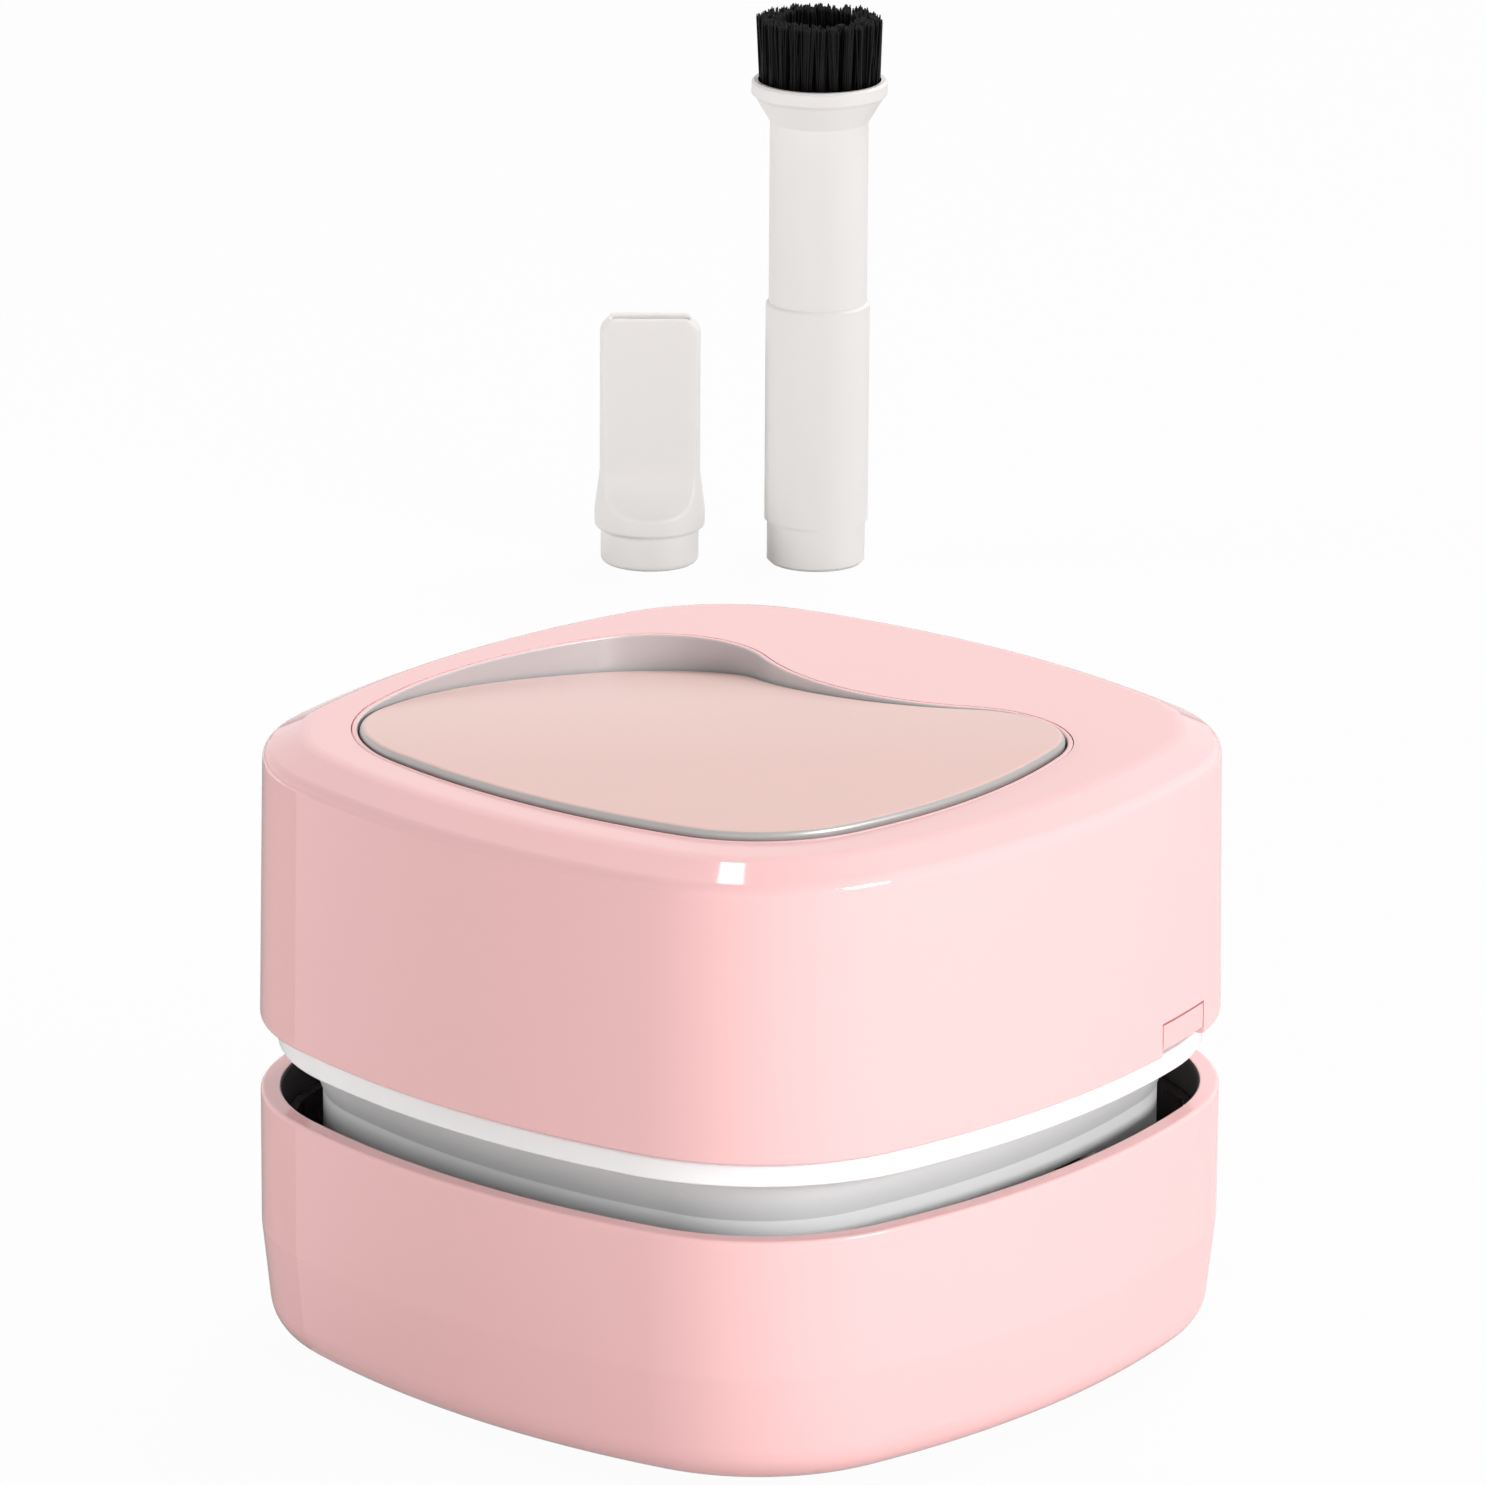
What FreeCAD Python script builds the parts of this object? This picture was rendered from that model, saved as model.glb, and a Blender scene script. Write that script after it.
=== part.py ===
"""Desktop mini vacuum cleaner with two push-in nozzles, as a parametric document.

Millimetres, +Z up.  The origin lies on the table under the middle of the body, and the sides
of the body are square to X and Y.  Each sub-part is one labelled object with its own STEP file.
"""
import FreeCAD
import Part
import Sketcher

import math
import os
from types import SimpleNamespace

Vector = FreeCAD.Vector
Z_UP = Vector(0, 0, 1)
BULGE = 1
WAIST = -1

SIZES = {
    # outline of the body seen from above: bulged sides between round corners
    "body_width": 85.0,
    "body_corner": 22.0,
    "body_bulge": 100.0,
    "body_height": 64.0,
    # clearances
    "fit_gap": 0.1,
    "slide_gap": 0.2,
    "shaft_gap": 0.05,
    "shadow_gap": 0.5,
    # lower shell
    "foot_height": 1.6,
    "rim_level": 27.1,
    "base_wall": 2.1,
    "base_floor": 2.5,
    "base_taper": 6.0,
    "taper_height": 11.5,
    "base_round": 4.0,
    "rim_round": 0.4,
    # rubber feet on the diagonals
    "foot_reach": 30.0,
    "foot_radius": 4.0,
    "foot_recess": 0.8,
    "foot_chamfer": 0.4,
    # suction inlet
    "bore_radius": 6.4,
    "inlet_wall": 1.6,
    "inlet_level": 14.0,
    "inlet_flange": 2.0,
    "flange_thickness": 0.8,
    "lead_in": 0.5,
    # brush ring round the inlet
    "brush_inner": 13.9,
    "brush_outer": 19.1,
    "brush_recess": 1.2,
    "holder_thickness": 1.4,
    "floor_tuft_radius": 0.5,
    "floor_tuft_level": 0.3,
    "floor_tuft_count": 40,
    # dust bin; its outer wall lines the lower shell and leaves a moat for the neck
    "bin_wall": 1.5,
    "bin_floor": 1.2,
    "bin_level": 17.8,
    "moat_wall": 1.0,
    "moat_level": 23.4,
    # neck of the head
    "neck_inset": 6.2,
    "neck_wall": 1.8,
    "neck_level": 14.5,
    "cove_height": 4.95,
    "cove_angle": 20.0,
    "ledge_depth": 1.6,
    "ledge_thickness": 1.2,
    "slot_width": 7.0,
    "slot_pitch": 9.0,
    "slot_count": 3,
    "slot_height": 1.4,
    # filter
    "seal_thickness": 1.0,
    "seal_width": 2.1,
    "frame_thickness": 2.0,
    "frame_bar": 2.0,
    "frame_bar_depth": 0.6,
    "filter_radius": 24.0,
    "filter_thickness": 1.4,
    # fan
    "plate_thickness": 1.2,
    "eye_radius": 10.0,
    "eye_lip": 1.2,
    "eye_lip_height": 1.0,
    "post_radius": 2.0,
    "post_gap": 1.5,
    "post_count": 6,
    "fan_radius": 21.5,
    "fan_gap": 0.9,
    "fan_back": 1.0,
    "hub_radius": 3.2,
    "blade_count": 9,
    "blade_inner": 9.0,
    "blade_lean": 22.0,
    "blade_thickness": 1.0,
    # chassis ring
    "ring_level": 31.95,
    "ring_thickness": 2.3,
    "ring_inset": 1.2,
    "ring_soften": 2.0,
    "edge_round": 0.3,
    "spigot_height": 3.75,
    "spigot_wall": 1.4,
    # top shell
    "shell_wall": 2.2,
    "shell_roof": 2.2,
    "shell_taper": 0.9,
    "bevel_drop": 1.9,
    "bevel_slope": 65.0,
    "shell_round": 1.4,
    "crest_round": 3.0,
    "boss_reach": 37.5,
    "boss_radius": 2.8,
    "boss_height": 17.75,
    "rib_width": 1.6,
    # chassis screws
    "screw_radius": 0.95,
    "screw_length": 10.0,
    "screw_head": 2.0,
    "screw_head_height": 1.3,
    "screw_slack": 0.25,
    # motor
    "motor_radius": 12.2,
    "motor_wall": 1.0,
    "motor_length": 19.75,
    "nose_radius": 4.0,
    "nose_length": 1.65,
    "bearing_radius": 3.0,
    "bearing_length": 3.0,
    "shaft_radius": 1.0,
    "magnet_thickness": 2.3,
    "magnet_length": 13.0,
    "core_length": 11.0,
    "cap_thickness": 1.2,
    "cap_spigot": 1.0,
    "holder_wall": 2.0,
    "holder_height": 9.75,
    "holder_flange": 4.0,
    "terminal_reach": 8.0,
    "terminal_width": 2.0,
    "terminal_height": 0.4,
    # battery
    "cell_radius": 7.0,
    "cell_length": 43.0,
    "cell_nub_radius": 2.7,
    "cell_nub_length": 1.0,
    "tray_wall": 0.9,
    "tray_open": 1.5,
    "tray_floor": 1.15,
    "tray_end": 1.2,
    "tray_gap": 0.45,
    "contact_width": 8.0,
    "contact_thickness": 0.4,
    # charging port in the side, and its cover
    "port_place": 20.1,
    "cover_width": 8.4,
    "cover_rise": 0.8,
    "cover_height": 2.5,
    "cover_thickness": 1.6,
    "cover_gap": 0.25,
    "socket_width": 7.6,
    "socket_height": 2.7,
    "socket_depth": 5.6,
    "socket_set_back": 2.9,
    "socket_wall": 0.4,
    "board_width": 17.0,
    "board_depth": 6.0,
    "board_thickness": 1.0,
    "chip_width": 3.0,
    "chip_height": 1.1,
    # press key: four round corners joined by three bulged sides and a waist
    "front_x": -15.7,
    "front_y": -15.4,
    "front_round": 15.6,
    "right_x": 9.8,
    "right_y": -18.4,
    "right_round": 11.4,
    "back_x": 9.2,
    "back_y": 20.1,
    "back_round": 11.3,
    "left_x": -13.6,
    "left_y": 13.8,
    "left_round": 18.5,
    "near_bulge": 62.3,
    "key_waist": 27.7,
    "far_bulge": 51.3,
    "side_bulge": 83.8,
    "key_rise": 0.8,
    "roll_start": 15.3,
    "key_roll": 250.0,
    "key_skin": 1.6,
    "key_wall": 1.4,
    "key_depth": 4.6,
    "key_round": 0.6,
    "key_travel": 1.0,
    "peg_radius": 1.2,
    "peg_left_x": -24.0,
    "peg_left_y": 16.0,
    "peg_front_x": -24.0,
    "peg_front_y": -20.0,
    "peg_right_x": 14.0,
    "peg_right_y": -22.0,
    "peg_length": 3.4,
    "bezel_wall": 0.6,
    "bezel_floor": 1.2,
    "bezel_flange": 2.0,
    "bezel_round": 0.2,
    # switch and spring under the key
    "switch_x": -6.5,
    "switch_y": -4.2,
    "switch_width": 7.0,
    "switch_height": 2.2,
    "plunger_radius": 1.5,
    "plunger_reach": 0.7,
    "spring_radius": 5.6,
    "spring_wire": 0.8,
    "spring_turns": 3.0,
    # nozzles that push into the inlet; both stand on the table behind the body
    "nozzle_x": 205.6,
    "nozzle_y": 196.4,
    "nozzle_turn": -48.2,
    "plug_chamfer": 0.4,
    "nozzle_plug": 4.7,
    "nozzle_step": 0.8,
    "nozzle_collar_top": 7.0,
    "nozzle_waist": 12.0,
    "nozzle_ease": 0.15,
    "nozzle_height": 32.4,
    "tongue_tip": 4.0,
    "tongue_root": 5.2,
    "tongue_level": 13.5,
    "tongue_hollow": 7.0,
    "tongue_corner": 1.6,
    "nozzle_wall": 1.3,
    "nozzle_bore_top": 7.2,
    "nozzle_slot_width": 10.0,
    "nozzle_slot_height": 2.2,
    "brush_x": 220.1,
    "brush_y": 180.7,
    "brush_plug": 5.7,
    "sleeve_step": 0.35,
    "sleeve_top": 34.4,
    "sleeve_wall": 1.1,
    "joint_wall": 1.0,
    "joint_length": 10.0,
    "tube_step": 0.37,
    "tube_wall": 0.9,
    "tube_top": 58.0,
    "flare_top": 61.2,
    "flare_radius": 8.2,
    "collar_radius": 8.65,
    "collar_top": 63.4,
    "collar_floor": 1.0,
    "collar_wall": 0.8,
    "collar_hole": 4.0,
    "brush_height": 71.7,
    "tuft_radius": 0.7,
    "outer_tufts": 26,
    "inner_tufts": 20,
}


class Size(float):
    """A length or an angle that carries the sheet expression it comes from."""

    def __new__(cls, value, text=None):
        size = super().__new__(cls, value)
        size.text = text or f"({float(value):.9g})"
        return size

    def joined(self, other, sign, value):
        return Size(value, f"({self.text} {sign} {as_size(other).text})")

    def __add__(self, other):
        return self.joined(other, "+", float(self) + float(other))

    def __radd__(self, other):
        return as_size(other) + self

    def __sub__(self, other):
        return self.joined(other, "-", float(self) - float(other))

    def __rsub__(self, other):
        return as_size(other) - self

    def __mul__(self, other):
        return self.joined(other, "*", float(self) * float(other))

    def __rmul__(self, other):
        return as_size(other) * self

    def __truediv__(self, other):
        return self.joined(other, "/", float(self) / float(other))

    def __neg__(self):
        return as_size(0) - self


def as_size(value):
    return value if isinstance(value, Size) else Size(value)


def root(size):
    return Size(math.sqrt(size), f"sqrt({size.text})")


def cosine(angle):
    return Size(math.cos(math.radians(angle)), f"cos({as_size(angle).text})")


def sine(angle):
    return Size(math.sin(math.radians(angle)), f"sin({as_size(angle).text})")


def arcsine(ratio):
    return Size(math.degrees(math.asin(ratio)), f"(asin({ratio.text}) / 1 deg)")


doc = FreeCAD.newDocument("desktop_mini_vacuum")
sheet = doc.addObject("Spreadsheet::Sheet", "Sizes")
for row, (alias, number) in enumerate(SIZES.items(), start=1):
    sheet.set(f"A{row}", alias)
    sheet.set(f"B{row}", str(number))
    sheet.setAlias(f"B{row}", alias)
doc.recompute()

s = SimpleNamespace(**{name: Size(number, f"Sizes.{name}") for name, number in SIZES.items()})
ZERO = Size(0)
nodes = []


# ------------------------------------------------------------------ objects and sketches
def bind(item, path, size):
    """Tie one property of an object to the sheet."""
    item.setExpression(path, as_size(size).text)


def place(item, x=ZERO, y=ZERO, z=ZERO, turn=None):
    for axis, size in zip("xyz", (x, y, z)):
        bind(item, f".Placement.Base.{axis}", size)
    if turn is not None:
        item.Placement = FreeCAD.Placement(Vector(x, y, z), FreeCAD.Rotation(Z_UP, turn))
        bind(item, ".Placement.Rotation.Angle", turn)


def new_body(label, **spot):
    body = doc.addObject("PartDesign::Body", label)
    body.Label = label
    place(body, **spot)
    nodes.append(body)
    return body


def keep(item, label):
    """Make a primitive or boolean a sub-part of its own."""
    item.Label = label
    nodes.append(item)
    return item


def sketch_on(body, plane, level):
    """A sketch parallel to one of the body's own origin planes, this far along its normal."""
    sketch = body.newObject("Sketcher::SketchObject", f"{body.Label}_sketch")
    support = next(item for item in body.Origin.OriginFeatures if item.Role == plane)
    sketch.AttachmentSupport = [(support, "")]
    sketch.MapMode = "FlatFace"
    bind(sketch, ".AttachmentOffset.Base.z", level)
    return sketch


def constrain(sketch, kind, *what):
    """Add a dimension whose value, the last item, is tied to the sheet."""
    number = sketch.addConstraint(Sketcher.Constraint(kind, *what[:-1], float(what[-1])))
    sketch.setExpression(f"Constraints[{number}]", as_size(what[-1]).text)


def pin_point(sketch, shape, end, x, y):
    """Hold a point at x, y; a coordinate that is nothing lies on the axis."""
    for kind, size, axis in (("DistanceX", x, -2), ("DistanceY", y, -1)):
        if as_size(size) == 0:
            sketch.addConstraint(Sketcher.Constraint("PointOnObject", shape, end, axis))
        else:
            constrain(sketch, kind, -1, 1, shape, end, size)


# ------------------------------------------------------------------ closed shapes for sketches
def polygon(*points):
    def draw(sketch):
        first = sketch.GeometryCount
        count = len(points)
        for index, (x, y) in enumerate(points):
            next_x, next_y = points[(index + 1) % count]
            line = Part.LineSegment(Vector(x, y, 0), Vector(next_x, next_y, 0))
            sketch.addGeometry(line, False)
        for index in range(count):
            follower = first + (index + 1) % count
            sketch.addConstraint(Sketcher.Constraint("Coincident", first + index, 2, follower, 1))
        for index, (x, y) in enumerate(points):
            pin_point(sketch, first + index, 1, x, y)
    return draw


def box(low_x, high_x, low_y, high_y):
    return polygon((low_x, low_y), (high_x, low_y), (high_x, high_y), (low_x, high_y))


def circle(radius, x=ZERO, y=ZERO):
    def draw(sketch):
        number = sketch.addGeometry(Part.Circle(Vector(x, y, 0), Z_UP, radius), False)
        constrain(sketch, "Radius", number, radius)
        pin_point(sketch, number, 3, x, y)
    return draw


def arc(centre, radius, start, end):
    """An arc from the heading of one vector to the heading of another, counterclockwise."""
    first = math.atan2(start.y, start.x)
    last = math.atan2(end.y, end.x)
    return Part.ArcOfCircle(Part.Circle(centre, Z_UP, radius), first, last)


def rounded(corners, joins, grow=ZERO):
    """Round corners (x, y, radius), counterclockwise, with a tangent arc from each to the next.

    A join is (radius, BULGE) or (radius, WAIST).  The whole outline is offset outward by grow.
    """
    count = len(corners)
    spots = [Vector(x, y, 0) for x, y, _ in corners]
    radii = [radius + grow for _, _, radius in corners]
    bends = [radius + grow * side for radius, side in joins]

    def bend_centre(index):
        side = joins[index][1]
        after = (index + 1) % count
        near = bends[index] - side * radii[index]
        far = bends[index] - side * radii[after]
        chord = spots[after] - spots[index]
        along = (near ** 2 - far ** 2 + chord.Length ** 2) / (2 * chord.Length)
        aside = side * math.sqrt(near ** 2 - along ** 2)
        ahead = Vector(chord).normalize()
        return spots[index] + ahead * along + Vector(-ahead.y, ahead.x, 0) * aside

    def draw(sketch):
        first = sketch.GeometryCount
        centres = [bend_centre(index) for index in range(count)]
        for index, (_, side) in enumerate(joins):
            before = index - 1
            after = (index + 1) % count
            arrive = (spots[index] - centres[before]) * joins[before][1]
            leave = (spots[index] - centres[index]) * side
            sketch.addGeometry(arc(spots[index], radii[index], arrive, leave), False)
            ends = [spots[index] - centres[index], spots[after] - centres[index]][::side]
            sketch.addGeometry(arc(centres[index], bends[index], *ends), False)
        for index, (_, side) in enumerate(joins):
            corner = first + 2 * index
            bend = corner + 1
            follower = first + 2 * ((index + 1) % count)
            start, end = (1, 2)[::side]
            sketch.addConstraint(Sketcher.Constraint("Tangent", corner, 2, bend, start))
            sketch.addConstraint(Sketcher.Constraint("Tangent", bend, end, follower, 1))
        for index, (x, y, _) in enumerate(corners):
            pin_point(sketch, first + 2 * index, 3, x, y)
            constrain(sketch, "Radius", first + 2 * index, radii[index])
            constrain(sketch, "Radius", first + 2 * index + 1, bends[index])
    return draw


def square_outline(half, corner, bulge):
    """The body's outline: four equal round corners and four equal bulged sides."""
    reach = half - bulge
    span = bulge - corner
    middle = (reach + root(2 * span * span - reach * reach)) / 2
    corners = [(middle, middle), (-middle, middle), (-middle, -middle), (middle, -middle)]
    return rounded([(x, y, corner) for x, y in corners], [(bulge, BULGE)] * 4)


def outline(inset=ZERO):
    return square_outline(HALF - inset, s.body_corner - inset, s.body_bulge - inset)


def key_outline(grow=ZERO):
    corners = [
        (s.front_x, s.front_y, s.front_round),
        (s.right_x, s.right_y, s.right_round),
        (s.back_x, s.back_y, s.back_round),
        (s.left_x, s.left_y, s.left_round),
    ]
    joins = [
        (s.near_bulge, BULGE),
        (s.key_waist, WAIST),
        (s.far_bulge, BULGE),
        (s.side_bulge, BULGE),
    ]
    return rounded(corners, joins, grow)


def port_box(low_x, high_x, low_y, high_y):
    """A rectangle in the port's own directions: x along the wall, y inward from its face."""
    corners = [(low_x, low_y), (high_x, low_y), (high_x, high_y), (low_x, high_y)]
    along_x, along_y = cosine(PORT_TURN), sine(PORT_TURN)
    return polygon(*[
        (PORT_X + x * along_x - y * along_y, PORT_Y + x * along_y + y * along_x)
        for x, y in corners
    ])


# ------------------------------------------------------------------ features
def extrude(kind, body, low, high, *shapes, plane="XY_Plane", taper=None):
    sketch = sketch_on(body, plane, low)
    for draw in shapes:
        draw(sketch)
    feature = body.newObject(f"PartDesign::{kind}", f"{body.Label}_{kind.lower()}")
    feature.Profile = sketch
    feature.Reversed = kind == "Pocket"
    bind(feature, "Length", high - low)
    if taper is not None:
        bind(feature, "TaperAngle", taper)
    return feature


def add(body, low, high, *shapes, **options):
    """Material between two levels along the plane's normal."""
    return extrude("Pad", body, low, high, *shapes, **options)


def cut(body, low, high, *shapes, **options):
    """A hollow between two levels along the plane's normal; it has to take material away."""
    doc.recompute()
    before = body.Shape.Volume
    feature = extrude("Pocket", body, low, high, *shapes, **options)
    doc.recompute()
    if body.Shape.Volume > before - 1e-6:
        raise RuntimeError(f"{feature.Label} cuts nothing")
    return feature


def turned(label, *points, **spot):
    """A piece turned about the Z axis from a profile of (radius, level) points."""
    body = new_body(label, **spot)
    sketch = sketch_on(body, "XZ_Plane", ZERO)
    polygon(*points)(sketch)
    feature = body.newObject("PartDesign::Revolution", f"{label}_turned")
    feature.Profile = sketch
    feature.ReferenceAxis = (sketch, ["V_Axis"])
    feature.Angle = 360
    return body


def repeat(body, count, *features):
    pattern = body.newObject("PartDesign::PolarPattern", f"{body.Label}_pattern")
    pattern.Originals = list(features)
    axis = next(item for item in body.Origin.OriginFeatures if item.Role == "Z_Axis")
    pattern.Axis = (axis, [""])
    pattern.Angle = 360
    bind(pattern, "Occurrences", count)
    body.Tip = pattern
    return pattern


def round_edges(body, radius, level):
    """Round the edges that lie flat at one level."""
    doc.recompute()
    names = [
        f"Edge{number}"
        for number, edge in enumerate(body.Shape.Edges, start=1)
        if abs(edge.BoundBox.ZMin - level) < 0.01 and abs(edge.BoundBox.ZMax - level) < 0.01
    ]
    base = body.Tip
    fillet = body.newObject("PartDesign::Fillet", f"{body.Label}_fillet")
    fillet.Base = (base, names)
    bind(fillet, "Radius", radius)


def primitive(kind, name, spot, **sizes):
    item = doc.addObject(f"Part::{kind}", name)
    for path, size in sizes.items():
        bind(item, path, size)
    place(item, *spot)
    return item


def combine(kind, name, **inputs):
    item = doc.addObject(f"Part::{kind}", name)
    for path, value in inputs.items():
        setattr(item, path, value)
    return item


def free_prism(name, draw, low, high):
    """A plain extrusion of a sketch that stands alone, for booleans."""
    sketch = doc.addObject("Sketcher::SketchObject", f"{name}_sketch")
    draw(sketch)
    prism = combine("Extrusion", name, Base=sketch, Solid=True, DirMode="Normal")
    place(sketch, z=low)
    bind(prism, "LengthFwd", high - low)
    return prism


# ------------------------------------------------------------------ places worked out once
HALF = s.body_width / 2
FLOOR_TOP = s.foot_height + s.base_floor
BIN_INSET = s.neck_inset + s.neck_wall + s.slide_gap
NECK_INSIDE = s.neck_inset + s.neck_wall
SEAL_TOP = s.bin_level + s.seal_thickness
FRAME_TOP = SEAL_TOP + s.frame_thickness
LEDGE_TOP = FRAME_TOP + s.ledge_thickness
PLATE_TOP = LEDGE_TOP + s.plate_thickness
RING_TOP = s.ring_level + s.ring_thickness
SHELL_LOW = RING_TOP + s.shadow_gap
SPIGOT_TOP = RING_TOP + s.spigot_height
SPIGOT_INSET = s.shell_wall + s.fit_gap
ROOF_UNDER = s.body_height - s.shell_roof
BEVEL_LOW = s.body_height - s.bevel_drop
BEVEL_INSET = (BEVEL_LOW - SHELL_LOW) * sine(s.shell_taper) / cosine(s.shell_taper)
INLET_OUTER = s.bore_radius + s.inlet_wall
DIAGONAL = 1 / root(Size(2))
POST_REACH = s.fan_radius + s.post_gap + s.post_radius
FAN_LOW = PLATE_TOP + s.fan_gap
FAN_TOP = s.ring_level - s.fan_gap
SHAFT_BORE = s.shaft_radius + s.shaft_gap
CAN_TOP = RING_TOP + s.motor_length
CAN_INSIDE = s.motor_radius - s.motor_wall
CAP_TOP = CAN_TOP + s.cap_thickness
KEY_LOW = s.body_height - s.key_depth
KEY_TOP = s.body_height + s.key_rise
KEY_CEILING = KEY_TOP - s.key_skin
BEZEL_FLOOR = KEY_LOW - s.key_travel - s.slide_gap
BEZEL_LOW = BEZEL_FLOOR - s.bezel_floor
BEZEL_INSIDE = s.slide_gap
BEZEL_OUTSIDE = BEZEL_INSIDE + s.bezel_wall
SWITCH_TOP = BEZEL_FLOOR + s.switch_height
COVER_LOW = SHELL_LOW + s.cover_rise
COVER_HIGH = COVER_LOW + s.cover_height
PORT_TURN = arcsine(s.port_place / s.body_bulge)
PORT_X = s.port_place
PORT_Y = s.body_bulge - HALF - root(s.body_bulge * s.body_bulge - s.port_place * s.port_place)
BOARD_TOP = RING_TOP + s.board_thickness
PLUG_RADIUS = s.bore_radius - s.fit_gap
COLLAR_RADIUS = PLUG_RADIUS + s.nozzle_step
NOZZLE_RADIUS = PLUG_RADIUS + s.nozzle_ease
SLEEVE_RADIUS = PLUG_RADIUS + s.sleeve_step
SOCKET_BORE = SLEEVE_RADIUS - s.joint_wall
CORNERS = {"front": (-1, -1), "right": (1, -1), "back": (1, 1), "left": (-1, 1)}
PEGS = [(s.peg_left_x, s.peg_left_y), (s.peg_front_x, s.peg_front_y), (s.peg_right_x, s.peg_right_y)]


# ------------------------------------------------------------------ base
def make_lower_shell():
    body = new_body("lower_shell")
    taper_top = s.foot_height + s.taper_height
    add(body, taper_top, s.rim_level, outline())
    lower = add(body, taper_top, taper_top + s.taper_height, outline(), taper=-s.base_taper)
    lower.Reversed = True
    round_edges(body, s.base_round, s.foot_height)
    cut(body, FLOOR_TOP, s.rim_level, outline(s.base_wall))
    round_edges(body, s.rim_round, s.rim_level)
    cut(body, s.foot_height, FLOOR_TOP, circle(INLET_OUTER + s.shaft_gap))
    recess_top = s.foot_height + s.brush_recess
    cut(body, s.foot_height, recess_top, circle(s.brush_outer + s.fit_gap),
        circle(s.brush_inner - s.fit_gap))
    reach = s.foot_reach * DIAGONAL
    recess = cut(body, s.foot_height, s.foot_height + s.foot_recess,
                 circle(s.foot_radius + s.fit_gap, reach, reach))
    repeat(body, Size(4), recess)


def make_dust_bin():
    body = new_body("dust_bin")
    lining = s.base_wall + s.slide_gap
    floor_top = FLOOR_TOP + s.bin_floor
    add(body, FLOOR_TOP, s.moat_level, outline(lining))
    cut(body, floor_top, s.moat_level, outline(lining + s.moat_wall))
    add(body, floor_top, s.bin_level, outline(BIN_INSET), outline(BIN_INSET + s.bin_wall))
    cut(body, FLOOR_TOP, floor_top, circle(INLET_OUTER + s.shaft_gap))


def make_inlet_tube():
    low = s.foot_height - s.flange_thickness
    flange = INLET_OUTER + s.inlet_flange
    turned("inlet_tube",
           (s.bore_radius + s.lead_in, low), (flange, low), (flange, s.foot_height),
           (INLET_OUTER, s.foot_height), (INLET_OUTER, s.inlet_level),
           (s.bore_radius, s.inlet_level), (s.bore_radius, low + s.lead_in))


def make_brush_ring():
    high = s.foot_height + s.brush_recess
    low = high - s.holder_thickness
    turned("brush_ring_holder",
           (s.brush_inner, low), (s.brush_outer, low), (s.brush_outer, high), (s.brush_inner, high))
    ring = (s.brush_inner + s.brush_outer) / 2
    make_tufts("brush_ring_bristles", s.floor_tuft_radius, s.floor_tuft_level, low,
               [(ring, s.floor_tuft_count)])


def make_tufts(label, radius, low, high, rings, x=ZERO, y=ZERO):
    """Upright tufts in rings about x, y; each ring is (radius, count)."""
    tufts = []
    for ring, count in rings:
        for number in range(int(count)):
            angle = as_size(360) * number / count
            spot = (x + ring * cosine(angle), y + ring * sine(angle), low)
            tufts.append(primitive("Cylinder", f"{label}_tuft", spot, Radius=radius, Height=high - low))
    keep(combine("Compound", label, Links=tufts), label)


def make_feet():
    reach = s.foot_reach * DIAGONAL
    top = s.foot_height + s.foot_recess
    for name, (side_x, side_y) in CORNERS.items():
        turned(f"foot_{name}",
               (ZERO, ZERO), (s.foot_radius - s.foot_chamfer, ZERO),
               (s.foot_radius, s.foot_chamfer), (s.foot_radius, top), (ZERO, top),
               x=side_x * reach, y=side_y * reach)


# ------------------------------------------------------------------ head
def make_neck():
    body = new_body("neck")
    cove_low = s.ring_level - s.cove_height
    add(body, s.neck_level, cove_low, outline(s.neck_inset))
    add(body, cove_low, s.ring_level, outline(s.neck_inset), taper=s.cove_angle)
    cut(body, s.neck_level, s.ring_level, outline(NECK_INSIDE))
    add(body, FRAME_TOP, LEDGE_TOP, outline(NECK_INSIDE - s.neck_wall / 2),
        outline(NECK_INSIDE + s.ledge_depth))
    low = PLATE_TOP + s.fit_gap
    middle = (s.slot_count - 1) / 2
    for plane in ("XZ_Plane", "YZ_Plane"):
        slots = []
        for number in range(int(s.slot_count)):
            centre = (number - middle) * s.slot_pitch
            half = s.slot_width / 2
            slots.append(box(centre - half, centre + half, low, low + s.slot_height))
        cut(body, -HALF, HALF, *slots, plane=plane)


def make_filter():
    body = new_body("seal_ring")
    add(body, s.bin_level, SEAL_TOP, outline(NECK_INSIDE + s.fit_gap),
        outline(NECK_INSIDE + s.fit_gap + s.seal_width))
    frame = new_body("filter_frame")
    add(frame, SEAL_TOP, FRAME_TOP, outline(NECK_INSIDE + s.fit_gap))
    cut(frame, SEAL_TOP, FRAME_TOP, circle(s.filter_radius))
    half = s.frame_bar / 2
    reach = s.filter_radius + half
    bar_top = SEAL_TOP + s.frame_bar_depth
    add(frame, SEAL_TOP, bar_top, box(-reach, reach, -half, half))
    add(frame, SEAL_TOP, bar_top, box(-half, half, -reach, reach))
    mesh = new_body("filter_mesh")
    add(mesh, bar_top, bar_top + s.filter_thickness, circle(s.filter_radius - s.fit_gap))


def make_fan_plate():
    body = new_body("fan_plate")
    add(body, LEDGE_TOP, PLATE_TOP, outline(NECK_INSIDE + s.fit_gap))
    add(body, LEDGE_TOP - s.eye_lip_height, LEDGE_TOP, circle(s.eye_radius + s.eye_lip))
    cut(body, LEDGE_TOP - s.eye_lip_height, PLATE_TOP, circle(s.eye_radius))
    post = add(body, PLATE_TOP, s.ring_level, circle(s.post_radius, POST_REACH))
    repeat(body, s.post_count, post)


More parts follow.
